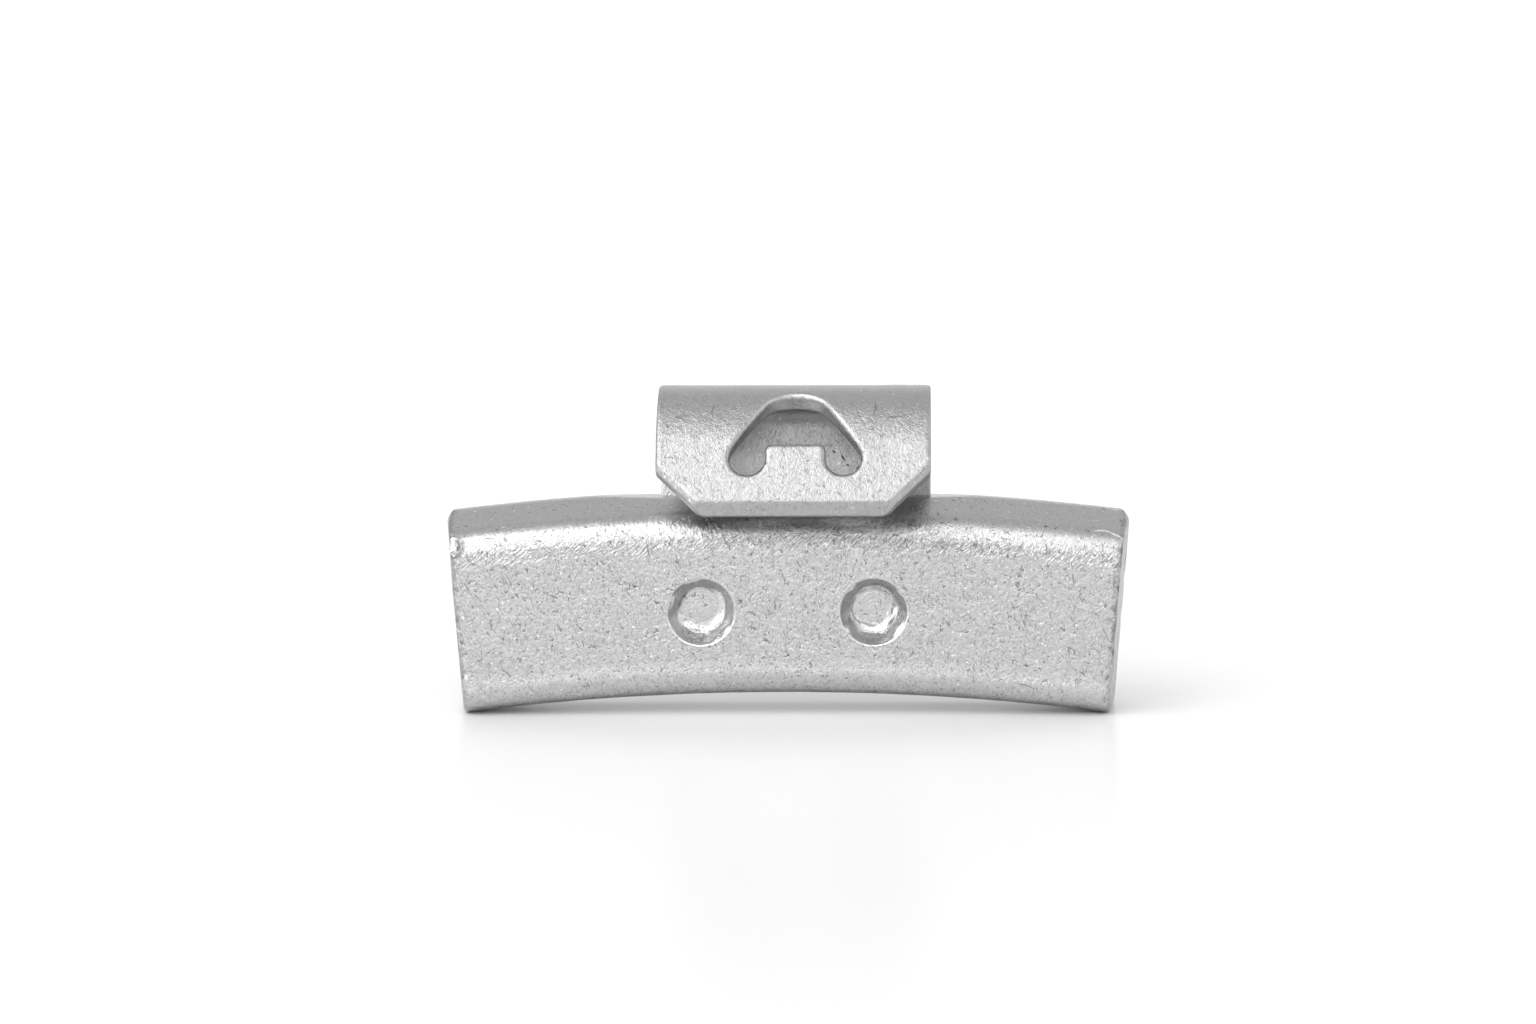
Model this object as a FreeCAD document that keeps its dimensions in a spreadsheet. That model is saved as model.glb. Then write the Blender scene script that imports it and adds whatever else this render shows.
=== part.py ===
import FreeCAD, Part
import math
import os
import Sketcher
from FreeCAD import Placement, Rotation, Vector

# Clip-on wheel balance weight, millimetres.
# X runs along the weight, -Y faces the wheel's rim and +Z is up, towards the clip's hook.
# The origin is on the floor under the middle of the whole piece, which stands on its two lower corners.

# name, value and meaning of each size that can be set by itself
SIZES = [
    ("body_length", 51.25, "longest length of the casting, along its outer face at the crest"),
    ("body_depth", 6.4, "rim face to outer face"),
    ("section_height", 14.82, "underside to crest of the casting's section"),
    ("under_radius", 187.0, "curve of the underside along the rim flange"),
    ("end_lean", 4.4, "each end leans in towards the floor, degrees"),
    ("end_draft", 6.5, "each end tapers towards the rim face, degrees"),
    ("end_round", 0.6, "rounding of the ends' edges"),
    ("top_slope", 20.5, "the top falls towards the rim face, degrees"),
    ("shoulder_radius", 2.4, "rounding between the top and the rim face"),
    ("crown_radius", 1.7, "rounding between the top and the outer face"),
    ("foot_radius", 2.0, "rounding between the rim face and the underside"),
    ("heel_radius", 0.8, "rounding between the outer face and the underside"),
    ("land_drop", 0.50, "the crest is levelled this far down round the clip"),
    ("rim_face_y", 1.25, "rim face ahead of the origin"),
    ("dimple_spacing", 12.7, "between the marks of the two mould pins"),
    ("dimple_height", 7.88, "the marks' centres above the floor"),
    ("dimple_shift", 0.14, "the marks sit off the middle by this much"),
    ("dimple_mouth", 4.9, "width of a mark at the face"),
    ("dimple_floor", 3.4, "width of a mark's flat floor"),
    ("dimple_depth", 1.35, "depth of a mark"),
    ("dimple_lip", 0.16, "rounding of a mark's mouth"),
    ("clip_width", 20.0, "width of the clip's strip"),
    ("clip_sheet", 1.3, "thickness of the clip's strip"),
    ("clip_shift", 0.7, "the clip sits off the middle by this much"),
    ("leg_depth", 4.75, "rim face back to the clip's standing leg, at the land"),
    ("leg_lean", 8.0, "the standing leg leans away from the rim, degrees"),
    ("tang_length", 8.2, "length of the leg cast into the weight"),
    ("lock_width", 3.6, "width of the holes that the casting fills to hold the tang"),
    ("lock_spacing", 9.0, "between the two lock holes"),
    ("lock_depth", 4.4, "lock holes below the land, along the tang"),
    ("hook_rise", 8.38, "crest of the hook above the land"),
    ("bend_radius", 1.9, "inside radius of the hook's tight rear bend"),
    ("brow_radius", 7.5, "outside radius of the hook's wide front bend"),
    ("brow_start", 80.0, "where the wide bend takes over, degrees above level"),
    ("lip_lean", 30.0, "the front lip leans out towards the floor, degrees"),
    ("lip_length", 5.0, "straight part of the front lip"),
    ("lip_bevel_run", 0.8, "lead-in bevel at the lip's tip, along the sheet"),
    ("lip_bevel_bite", 0.94, "lead-in bevel at the lip's tip, through the sheet"),
    ("lip_corner", 3.2, "corners cut off the lip's tip"),
    ("clip_edge", 0.28, "rounding of the strip's long outer edges"),
    ("window_shift", 0.15, "the window sits off the strip's middle by this much"),
    ("window_top", 1.51, "start of the wide bend down to the window's arch, along the sheet"),
    ("arch_radius", 2.5, "radius of the window's arch"),
    ("lobe_radius", 1.3, "radius of the window's two lower lobes"),
    ("lobe_spacing", 7.0, "between the lobes' centres"),
    ("lobe_height", 7.45, "start of the wide bend down to the lobes' centres"),
    ("tooth_top", 6.52, "start of the wide bend down to the tip of the tooth"),
    ("tooth_width", 4.15, "width of the tooth at its tip"),
    ("tooth_round", 0.35, "rounding of the tooth's corners"),
]

doc = FreeCAD.newDocument("balance_weight")


def make_sheet():
    """Puts every driving size in a spreadsheet under its own alias."""
    sheet = doc.addObject("Spreadsheet::Sheet", "Sizes")
    for row, (name, value, meaning) in enumerate(SIZES, start=1):
        sheet.set("A%d" % row, meaning)
        sheet.set("B%d" % row, str(value))
        sheet.setAlias("B%d" % row, name)
    doc.recompute()
    return sheet


sheet = make_sheet()


def size(name):
    """Value of one driving size, in millimetres or degrees."""
    return float(sheet.get(name))


# worked-out places, each written once as an expression of the driving sizes
FOOT_HALF = ("(Sizes.body_length / 2 - Sizes.end_round"
             " - tan(Sizes.end_lean) * Sizes.section_height)")
ARCH_RISE = "(Sizes.under_radius - sqrt(Sizes.under_radius ^ 2 - %s ^ 2))" % FOOT_HALF
FRONT_Y = "(-Sizes.rim_face_y)"
REAR_Y = "(Sizes.body_depth - Sizes.rim_face_y)"
LEG_Y = "(Sizes.leg_depth - Sizes.rim_face_y)"
LAND_Z = "(%s + Sizes.section_height - Sizes.land_drop)" % ARCH_RISE
CREST_END_Z = "(%s + Sizes.section_height - Sizes.body_length ^ 2 / 8 / Sizes.under_radius)" % ARCH_RISE

foot_half = (size("body_length") / 2 - size("end_round")
             - math.tan(math.radians(size("end_lean"))) * size("section_height"))
arch_rise = size("under_radius") - math.sqrt(size("under_radius") ** 2 - foot_half ** 2)
front_y = -size("rim_face_y")
rear_y = size("body_depth") - size("rim_face_y")
leg_y = size("leg_depth") - size("rim_face_y")
crest_z = arch_rise + size("section_height")
land_z = crest_z - size("land_drop")
crest_end_z = crest_z - size("body_length") ** 2 / 8 / size("under_radius")
CLEAR = 2.0     # how far cutting shapes reach past what they cut
TOUCH = 0.01    # places closer than this count as one
WINDOW_PAST = 0.35    # how far the window's cutter stands off the sheet
SPANS = 8       # stretches that each side of the window is drawn in, round the bend


def direction(degrees):
    """Unit vector in a sketch at this angle from its first axis."""
    angle = math.radians(degrees)
    return Vector(math.cos(angle), math.sin(angle), 0)


def origin_plane(body, role):
    """One of a body's own origin planes."""
    return next(f for f in body.Origin.OriginFeatures if f.Role == role)


def add_body(name):
    """An empty body with its name as label."""
    body = doc.addObject("PartDesign::Body", name)
    body.Label = name
    return body


def add_sketch(body, name, role):
    """A sketch on one of the body's origin planes."""
    sketch = body.newObject("Sketcher::SketchObject", name)
    sketch.AttachmentSupport = [(origin_plane(body, role), "")]
    sketch.MapMode = "FlatFace"
    return sketch


def bind(sketch, kind, *places, value=None, name=None, formula=None):
    """Adds one constraint; a named one takes its value from the sheet."""
    arguments = list(places)
    if value is not None:
        arguments.append(value)
    index = sketch.addConstraint(Sketcher.Constraint(kind, *arguments))
    if name:
        sketch.renameConstraint(index, name)
        sketch.setExpression("Constraints." + name, formula)
    return index


def line(sketch, start, end, construction=False):
    """Adds a straight line and returns its number."""
    return sketch.addGeometry(Part.LineSegment(start, end), construction)


def arc(sketch, centre, radius, first, last):
    """Adds an anticlockwise arc between two angles in degrees and returns its number."""
    circle = Part.Circle(centre, Vector(0, 0, 1), radius)
    return sketch.addGeometry(Part.ArcOfCircle(circle, math.radians(first), math.radians(last)), False)


def check(feature):
    """Stops if a feature failed or left no valid shape."""
    doc.recompute()
    if "Invalid" in feature.State or "Error" in feature.State:
        raise RuntimeError("%s failed: %s" % (feature.Label, feature.State))
    if feature.Shape.isNull() or not feature.Shape.isValid():
        raise RuntimeError("%s has no valid shape" % feature.Label)
    return feature


def cuts(feature, before):
    """Stops if a cutting feature removed nothing."""
    check(feature)
    if feature.Shape.Volume > before - TOUCH:
        raise RuntimeError("%s cuts nothing" % feature.Label)
    return feature.Shape.Volume


def edges_at(feature, places):
    """Names of the edges of a feature that pass through these places."""
    names = []
    for number, edge in enumerate(feature.Shape.Edges, start=1):
        if any(edge.distToShape(Part.Vertex(place))[0] < TOUCH for place in places):
            names.append("Edge%d" % number)
    if len(names) != len(places):
        raise RuntimeError("%s: %d edges at %d places" % (feature.Label, len(names), len(places)))
    return names


def round_edges(body, name, places, radius):
    """Rounds the edges at these places, and what runs on smoothly from them."""
    base = body.Tip
    fillet = body.newObject("PartDesign::Fillet", name)
    fillet.Base = (base, edges_at(base, places))
    fillet.setExpression("Radius", radius)
    check(fillet)


# The casting's section, drawn across its middle and swept along the rim's curve

def draw_section(body):
    """Section of the casting: rim face, rounded shoulder, sloping top, crown, outer face and underside."""
    sketch = add_sketch(body, "section", "YZ_Plane")
    slope = size("top_slope")
    foot, heel = size("foot_radius"), size("heel_radius")
    shoulder, crown = size("shoulder_radius"), size("crown_radius")
    crown_centre = Vector(rear_y - crown, crest_z - crown, 0)
    normal = direction(90 + slope)
    along = direction(180 + slope)
    slope_top = crown_centre + normal * crown
    shoulder_y = front_y + shoulder
    run = (shoulder_y + normal.x * shoulder - slope_top.x) / along.x
    slope_low = slope_top + along * run
    shoulder_centre = slope_low - normal * shoulder
    axis = line(sketch, Vector(front_y, arch_rise - size("under_radius"), 0),
                Vector(rear_y, arch_rise - size("under_radius"), 0), True)
    base = line(sketch, Vector(front_y + foot, arch_rise, 0), Vector(rear_y - heel, arch_rise, 0))
    heel_arc = arc(sketch, Vector(rear_y - heel, arch_rise + heel, 0), heel, -90, 0)
    back = line(sketch, Vector(rear_y, arch_rise + heel, 0), Vector(rear_y, crown_centre.y, 0))
    crown_arc = arc(sketch, crown_centre, crown, 0, 90 + slope)
    top = line(sketch, slope_top, slope_low)
    shoulder_arc = arc(sketch, shoulder_centre, shoulder, 90 + slope, 180)
    face = line(sketch, Vector(front_y, shoulder_centre.y, 0), Vector(front_y, arch_rise + foot, 0))
    foot_arc = arc(sketch, Vector(front_y + foot, arch_rise + foot, 0), foot, 180, 270)
    loop = [base, heel_arc, back, crown_arc, top, shoulder_arc, face, foot_arc, base]
    for first, second in zip(loop, loop[1:]):
        bind(sketch, "Tangent", first, 2, second, 1)
    bind(sketch, "Horizontal", base)
    bind(sketch, "Vertical", back)
    bind(sketch, "Vertical", face)
    bind(sketch, "Radius", foot_arc, value=foot, name="foot", formula="Sizes.foot_radius")
    bind(sketch, "Radius", heel_arc, value=heel, name="heel", formula="Sizes.heel_radius")
    bind(sketch, "Radius", shoulder_arc, value=shoulder, name="shoulder", formula="Sizes.shoulder_radius")
    bind(sketch, "Radius", crown_arc, value=crown, name="crown", formula="Sizes.crown_radius")
    bind(sketch, "DistanceX", -1, 1, face, 1, value=front_y, name="front", formula=FRONT_Y)
    bind(sketch, "DistanceX", -1, 1, back, 1, value=rear_y, name="rear", formula=REAR_Y)
    bind(sketch, "DistanceY", -1, 1, base, 1, value=arch_rise, name="rise", formula=ARCH_RISE)
    bind(sketch, "DistanceY", base, 1, crown_arc, 3, value=size("section_height") - crown,
         name="height", formula="Sizes.section_height - Sizes.crown_radius")
    bind(sketch, "Angle", top, value=math.radians(slope - 180), name="slope", formula="Sizes.top_slope - 180")
    bind(sketch, "Horizontal", axis)
    bind(sketch, "DistanceY", axis, 1, base, 1, value=size("under_radius"),
         name="curve", formula="Sizes.under_radius")
    bind(sketch, "DistanceX", -1, 1, axis, 1, value=front_y, name="axis_front", formula=FRONT_Y)
    bind(sketch, "DistanceX", -1, 1, axis, 2, value=rear_y, name="axis_rear", formula=REAR_Y)
    return sketch


def sweep_casting(body):
    """The section swept a little past both ends of the weight, about the wheel's axis."""
    section = draw_section(body)
    sweep = body.newObject("PartDesign::Revolution", "curved_bar")
    sweep.Profile = section
    sweep.ReferenceAxis = (section, ["Axis0"])
    sweep.Midplane = True
    sweep.setExpression("Angle", "2 * asin((Sizes.body_length / 2 + %g) / Sizes.under_radius)" % CLEAR)
    check(sweep)


def trim_ends(body):
    """Cuts both ends to their lean and draft."""
    sketch = add_sketch(body, "end_line", "XZ_Plane")
    sketch.AttachmentOffset = Placement(Vector(0, 0, -rear_y), Rotation())
    sketch.setExpression("AttachmentOffset.Base.z", "-" + REAR_Y)
    half = size("body_length") / 2
    lean = math.tan(math.radians(size("end_lean")))
    low, high = -CLEAR, crest_z + CLEAR
    outside = half + 4 * CLEAR
    corners = [Vector(half - (crest_end_z - low) * lean, low, 0), Vector(outside, low, 0),
               Vector(outside, high, 0), Vector(half + (high - crest_end_z) * lean, high, 0)]
    sides = [line(sketch, corners[i], corners[(i + 1) % 4]) for i in range(4)]
    for i in range(4):
        bind(sketch, "Coincident", sides[i], 2, sides[(i + 1) % 4], 1)
    pin = sketch.addGeometry(Part.Point(Vector(half, crest_end_z, 0)), True)
    bind(sketch, "DistanceX", -1, 1, pin, 1, value=half, name="half", formula="Sizes.body_length / 2")
    bind(sketch, "DistanceY", -1, 1, pin, 1, value=crest_end_z, name="crest_end", formula=CREST_END_Z)
    bind(sketch, "PointOnObject", pin, 1, sides[3])
    bind(sketch, "Horizontal", sides[0])
    bind(sketch, "Vertical", sides[1])
    bind(sketch, "Horizontal", sides[2])
    bind(sketch, "Angle", sides[3], value=math.radians(-90 - size("end_lean")),
         name="lean", formula="-90 - Sizes.end_lean")
    bind(sketch, "DistanceY", sides[0], 1, -1, 1, value=CLEAR)
    bind(sketch, "DistanceY", pin, 1, sides[2], 2, value=high - crest_end_z)
    bind(sketch, "DistanceX", pin, 1, sides[1], 1, value=outside - half)
    before = body.Shape.Volume
    pocket = body.newObject("PartDesign::Pocket", "end_trim")
    pocket.Profile = sketch
    pocket.Reversed = True
    pocket.setExpression("Length", "Sizes.body_depth + %g" % CLEAR)
    pocket.setExpression("TaperAngle", "Sizes.end_draft")
    before = cuts(pocket, before)
    mirror = body.newObject("PartDesign::Mirrored", "both_ends")
    mirror.Originals = [pocket]
    mirror.MirrorPlane = (origin_plane(body, "YZ_Plane"), [""])
    body.Tip = mirror
    cuts(mirror, before)


def level_land(body):
    """Levels the crest where the mould closes round the clip."""
    sketch = add_sketch(body, "land_outline", "XY_Plane")
    sketch.AttachmentOffset = Placement(Vector(0, 0, land_z), Rotation())
    sketch.setExpression("AttachmentOffset.Base.z", LAND_Z)
    half = size("body_length") / 2
    corners = [Vector(-half, front_y, 0), Vector(half, front_y, 0),
               Vector(half, rear_y, 0), Vector(-half, rear_y, 0)]
    sides = [line(sketch, corners[i], corners[(i + 1) % 4]) for i in range(4)]
    for i in range(4):
        bind(sketch, "Coincident", sides[i], 2, sides[(i + 1) % 4], 1)
    for i in (0, 2):
        bind(sketch, "Horizontal", sides[i])
        bind(sketch, "Vertical", sides[i + 1])
    bind(sketch, "DistanceX", sides[0], 1, -1, 1, value=half, name="left", formula="Sizes.body_length / 2")
    bind(sketch, "DistanceX", -1, 1, sides[1], 1, value=half, name="right", formula="Sizes.body_length / 2")
    bind(sketch, "DistanceY", -1, 1, sides[0], 1, value=front_y, name="front", formula=FRONT_Y)
    bind(sketch, "DistanceY", -1, 1, sides[2], 1, value=rear_y, name="rear", formula=REAR_Y)
    before = body.Shape.Volume
    pocket = body.newObject("PartDesign::Pocket", "land")
    pocket.Profile = sketch
    pocket.Reversed = True
    pocket.setExpression("Length", "Sizes.land_drop + %g" % CLEAR)
    cuts(pocket, before)


def round_ends(body):
    """Rounds the edges all round both ends, found at a place on the outer face; the rest runs on from it."""
    middle_z = crest_end_z / 2
    reach = size("body_length") / 2 - (crest_end_z - middle_z) * math.tan(math.radians(size("end_lean")))
    round_edges(body, "end_rounding", [Vector(side * reach, rear_y, middle_z) for side in (-1, 1)],
                "Sizes.end_round")


def press_dimples(body):
    """The two round marks that the mould's pins leave in the rim face."""
    sketch = add_sketch(body, "pin_circles", "XZ_Plane")
    sketch.AttachmentOffset = Placement(Vector(0, 0, -front_y), Rotation())
    sketch.setExpression("AttachmentOffset.Base.z", "-" + FRONT_Y)
    mouth = size("dimple_mouth") / 2
    places = [side * size("dimple_spacing") / 2 + size("dimple_shift") for side in (-1, 1)]
    for side, word, x in zip((-1, 1), ("left", "right"), places):
        centre = Vector(x, size("dimple_height"), 0)
        ring = sketch.addGeometry(Part.Circle(centre, Vector(0, 0, 1), mouth), False)
        bind(sketch, "Radius", ring, value=mouth, name=word + "_mouth", formula="Sizes.dimple_mouth / 2")
        bind(sketch, "DistanceX", -1, 1, ring, 3, value=x, name=word + "_x",
             formula="%d * Sizes.dimple_spacing / 2 + Sizes.dimple_shift" % side)
        bind(sketch, "DistanceY", -1, 1, ring, 3, value=centre.y, name=word + "_z",
             formula="Sizes.dimple_height")
    before = body.Shape.Volume
    pocket = body.newObject("PartDesign::Pocket", "pin_marks")
    pocket.Profile = sketch
    pocket.setExpression("Length", "Sizes.dimple_depth")
    pocket.setExpression("TaperAngle",
                         "-atan((Sizes.dimple_mouth - Sizes.dimple_floor) / 2 / Sizes.dimple_depth)")
    cuts(pocket, before)
    round_edges(body, "mark_lips", [Vector(x, front_y, size("dimple_height") + mouth) for x in places],
                "Sizes.dimple_lip")


# The clip: one strip of spring steel, bent to a hook, with a window and a tooth in its front lip

def hook_points():
    """Places that the strip's side view is drawn from, in the plane of the section."""
    inner = size("bend_radius")
    outer = inner + size("clip_sheet")
    lean = math.radians(size("leg_lean"))
    rise = size("hook_rise") - outer
    # the standing leg's front face passes the land at leg_y and touches the tight bend's inner circle
    bend = Vector(leg_y - (inner - rise * math.sin(lean)) / math.cos(lean), land_z + rise, 0)
    wide = bend - direction(180 - size("brow_start")) * (size("brow_radius") - outer)
    return inner, outer, bend, wide


def draw_hook(body):
    """Side view of the strip, tang to tip, as one closed outline of even thickness."""
    sketch = add_sketch(body, "hook_side", "YZ_Plane")
    sketch.AttachmentOffset = Placement(Vector(0, 0, size("clip_shift")), Rotation())
    sketch.setExpression("AttachmentOffset.Base.z", "Sizes.clip_shift")
    inner, outer, bend, wide = hook_points()
    sheet_t, brow, lean = size("clip_sheet"), size("brow_radius"), size("leg_lean")
    join = 180 - size("brow_start")
    lip = 180 - size("lip_lean")
    up, back, down = direction(90 - lean), direction(-lean), direction(lip + 90)
    start = Vector(leg_y, land_z, 0)
    foot = start - up * size("tang_length")
    front_touch = bend + back * inner
    rear_touch = bend + back * outer
    lip_in = wide + direction(lip) * (brow - sheet_t)
    lip_out = wide + direction(lip) * brow
    tip_in = lip_in + down * size("lip_length")
    tip_out = lip_out + down * size("lip_length")
    pin = sketch.addGeometry(Part.Point(start), True)
    leg = line(sketch, foot, front_touch)
    tight_in = arc(sketch, bend, inner, -lean, join)
    wide_in = arc(sketch, wide, brow - sheet_t, join, lip)
    lip_inner = line(sketch, lip_in, tip_in)
    tip = line(sketch, tip_in, tip_out)
    lip_outer = line(sketch, tip_out, lip_out)
    wide_out = arc(sketch, wide, brow, join, lip)
    tight_out = arc(sketch, bend, outer, -lean, join)
    rear = line(sketch, rear_touch, foot + back * sheet_t)
    end = line(sketch, foot + back * sheet_t, foot)
    centres = line(sketch, wide, bend, True)
    for first, first_end, second, second_end in [
            (leg, 2, tight_in, 1), (tight_in, 2, wide_in, 1), (wide_in, 2, lip_inner, 1),
            (lip_outer, 2, wide_out, 2), (wide_out, 1, tight_out, 2), (tight_out, 1, rear, 1)]:
        bind(sketch, "Tangent", first, first_end, second, second_end)
    for first, first_end, second, second_end in [
            (lip_inner, 2, tip, 1), (tip, 2, lip_outer, 1), (rear, 2, end, 1), (end, 2, leg, 1),
            (wide_in, 3, wide_out, 3), (tight_in, 3, tight_out, 3), (centres, 1, wide_in, 3),
            (centres, 2, tight_in, 3)]:
        bind(sketch, "Coincident", first, first_end, second, second_end)
    bind(sketch, "Parallel", lip_outer, lip_inner)
    bind(sketch, "Parallel", rear, leg)
    bind(sketch, "Perpendicular", tip, lip_inner)
    bind(sketch, "Perpendicular", end, leg)
    bind(sketch, "PointOnObject", pin, 1, leg)
    bind(sketch, "DistanceX", -1, 1, pin, 1, value=leg_y, name="leg_place", formula=LEG_Y)
    bind(sketch, "DistanceY", -1, 1, pin, 1, value=land_z, name="land_place", formula=LAND_Z)
    bind(sketch, "Distance", pin, 1, leg, 1, value=size("tang_length"), name="tang",
         formula="Sizes.tang_length")
    bind(sketch, "Radius", tight_in, value=inner, name="tight", formula="Sizes.bend_radius")
    bind(sketch, "Radius", wide_out, value=brow, name="wide", formula="Sizes.brow_radius")
    bind(sketch, "Distance", end, 1, end, 2, value=sheet_t, name="thickness", formula="Sizes.clip_sheet")
    bind(sketch, "Angle", leg, value=math.radians(90 - lean), name="leg_angle", formula="90 - Sizes.leg_lean")
    bind(sketch, "Angle", lip_inner, value=math.radians(lip + 90 - 360), name="lip_angle",
         formula="-90 - Sizes.lip_lean")
    bind(sketch, "Angle", centres, value=math.radians(join), name="join", formula="180 - Sizes.brow_start")
    bind(sketch, "DistanceY", pin, 1, tight_in, 3, value=size("hook_rise") - outer, name="rise",
         formula="Sizes.hook_rise - Sizes.bend_radius - Sizes.clip_sheet")
    bind(sketch, "Distance", lip_inner, 1, lip_inner, 2, value=size("lip_length"), name="lip",
         formula="Sizes.lip_length")
    return sketch


def bent_length():
    """Length of the strip's outer surface round the wide bend."""
    return size("brow_radius") * math.radians(size("brow_start") - size("lip_lean"))


def strip_place(u, s, lift=0.0):
    """A place on the hook's front, from where it was on the flat strip.

    u is across the strip from its middle, s is down it from the start of the wide bend, and lift is
    how far the place stands off the outer surface. Returns the place and the surface's outward normal.
    """
    wide = hook_points()[3]
    turned = min(s, bent_length()) / size("brow_radius")
    angle = 180 - size("brow_start") + math.degrees(turned)
    normal, down = direction(angle), direction(angle + 90)
    spot = wide + normal * (size("brow_radius") + lift) + down * max(0.0, s - bent_length())
    return Vector(size("clip_shift") + u, spot.x, spot.y), Vector(0, normal.x, normal.y)


def bend_strip(body):
    """The bent strip, with the lip's corners cut, its tip bevelled and its long outer edges rounded."""
    sketch = draw_hook(body)
    pad = body.newObject("PartDesign::Pad", "bent_strip")
    pad.Profile = sketch
    pad.Midplane = True
    pad.setExpression("Length", "Sizes.clip_width")
    check(pad)
    half, tip = size("clip_width") / 2, bent_length() + size("lip_length")
    corners = body.newObject("PartDesign::Chamfer", "cut_corners")
    in_sheet = -size("clip_sheet") / 2
    corners.Base = (pad, edges_at(pad, [strip_place(side * half, tip, in_sheet)[0] for side in (-1, 1)]))
    corners.setExpression("Size", "Sizes.lip_corner")
    check(corners)
    bevel = body.newObject("PartDesign::Chamfer", "lead_in_bevel")
    bevel.Base = (corners, edges_at(corners, [strip_place(0, tip)[0]]))
    bevel.ChamferType = "Two distances"
    bevel.setExpression("Size", "Sizes.lip_bevel_bite")
    bevel.setExpression("Size2", "Sizes.lip_bevel_run")
    check(bevel)
    round_edges(body, "long_edges", [strip_place(side * half, bent_length() / 2)[0] for side in (-1, 1)],
                "Sizes.clip_edge")


def reach_plane(u, s, height):
    """Where the line square to the sheet at a flat place meets a plane parallel to the lip."""
    spot, normal = strip_place(u, s)
    base, lip_normal = strip_place(0, bent_length())
    step = (height - (spot - base) * lip_normal) / (normal * lip_normal)
    return spot + normal * step


def round_corner(corner, first, second, radius):
    """A rounded corner between two directions that leave it: its start, end and centre."""
    half = first.getAngle(second) / 2
    reach = radius / math.tan(half)
    middle = first + second
    middle.normalize()
    return corner + first * reach, corner + second * reach, corner + middle * (radius / math.sin(half))


def curve(centre, radius, first, last):
    """An arc on the flat strip as a function of its share from 0 to 1, angles in degrees."""
    return lambda share: centre + direction(first + (last - first) * share) * radius


def straight(start, end):
    """A straight stretch on the flat strip as a function of its share from 0 to 1."""
    return lambda share: start + (end - start) * share


def angle_from(centre, place):
    """Angle in degrees of a place seen from a centre."""
    return math.degrees(math.atan2(place.y - centre.y, place.x - centre.x))


def window_outline():
    """Outline of the window on the flat strip: an arch, two lobes and the tooth between them."""
    arch, lobe, turn = size("arch_radius"), size("lobe_radius"), size("tooth_round")
    arch_centre = Vector(0, size("window_top") + arch, 0)
    lobe_centre = Vector(size("lobe_spacing") / 2, size("lobe_height"), 0)
    between = lobe_centre - arch_centre
    side = angle_from(arch_centre, lobe_centre) - math.degrees(math.acos((arch - lobe) / between.Length))
    corner = Vector(size("tooth_width") / 2, size("tooth_top"), 0)
    gap = corner - lobe_centre
    meet = angle_from(lobe_centre, corner) + 360 - math.degrees(math.acos(lobe / gap.Length))
    root = lobe_centre + direction(meet) * lobe
    along = root - corner
    along.normalize()
    low, high, middle = round_corner(corner, along, Vector(-1, 0, 0), turn)
    first, last = angle_from(middle, low), angle_from(middle, high)

    def mirrored(path):
        return lambda share: Vector(-path(1 - share).x, path(1 - share).y, 0)

    right = [straight(arch_centre + direction(side) * arch, lobe_centre + direction(side) * lobe),
             curve(lobe_centre, lobe, side, meet),
             straight(root, low),
             curve(middle, turn, first, last)]
    tooth = straight(high, Vector(-high.x, high.y, 0))
    left = [mirrored(path) for path in reversed(right)]
    return [curve(arch_centre, arch, -180 - side, side)] + right + [tooth] + left


def window_wire(height):
    """The window's outline where lines square to the sheet meet one plane parallel to the lip."""
    shares = [i / SPANS for i in range(SPANS + 1)]
    edges = []
    for path in window_outline():
        places = [path(share) for share in shares]
        spots = [reach_plane(size("window_shift") + p.x, p.y, height) for p in places]
        spline = Part.BSplineCurve()
        spline.interpolate(Points=spots, Parameters=shares)
        edges.append(spline.toShape())
    return Part.Wire(edges)


def cut_window():
    """Cutter for the window: its walls stand square to the sheet also where the sheet is bent."""
    tool = doc.addObject("Part::Feature", "window")
    turn = max(0.0, (bent_length() - size("window_top")) / size("brow_radius"))
    deep = size("clip_sheet") + size("brow_radius") * (1 - math.cos(turn)) + WINDOW_PAST
    tool.Shape = Part.makeLoft([window_wire(WINDOW_PAST), window_wire(-deep)], True, True)
    return tool


def drill_lock(name, side):
    """Cutter for one of the holes that the casting fills to hold the tang."""
    hole = doc.addObject("Part::Cylinder", name)
    hole.setExpression("Radius", "Sizes.lock_width / 2")
    hole.setExpression("Height", "Sizes.clip_sheet + %g" % (2 * CLEAR))
    hole.Placement = Placement(Vector(), Rotation(Vector(-1, 0, 0), 90 + size("leg_lean")))
    hole.setExpression("Placement.Rotation.Angle", "90 + Sizes.leg_lean")
    hole.setExpression("Placement.Base.x", "Sizes.clip_shift + %d * Sizes.lock_spacing / 2" % side)
    hole.setExpression("Placement.Base.y", LEG_Y + " - sin(Sizes.leg_lean) * Sizes.lock_depth"
                       " - cos(Sizes.leg_lean) * %g" % CLEAR)
    hole.setExpression("Placement.Base.z", LAND_Z + " - cos(Sizes.leg_lean) * Sizes.lock_depth"
                       " + sin(Sizes.leg_lean) * %g" % CLEAR)
    return hole


def stamp_strip(strip):
    """The clip: the bent strip less its window and its lock holes."""
    openings = doc.addObject("Part::Compound", "stamped_openings")
    openings.Links = [cut_window(), drill_lock("lock_left", -1), drill_lock("lock_right", 1)]
    clip = doc.addObject("Part::Cut", "spring_clip")
    clip.Base = strip
    clip.Tool = openings
    clip.Label = "spring_clip"
    cuts(clip, strip.Shape.Volume)
    return clip


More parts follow.
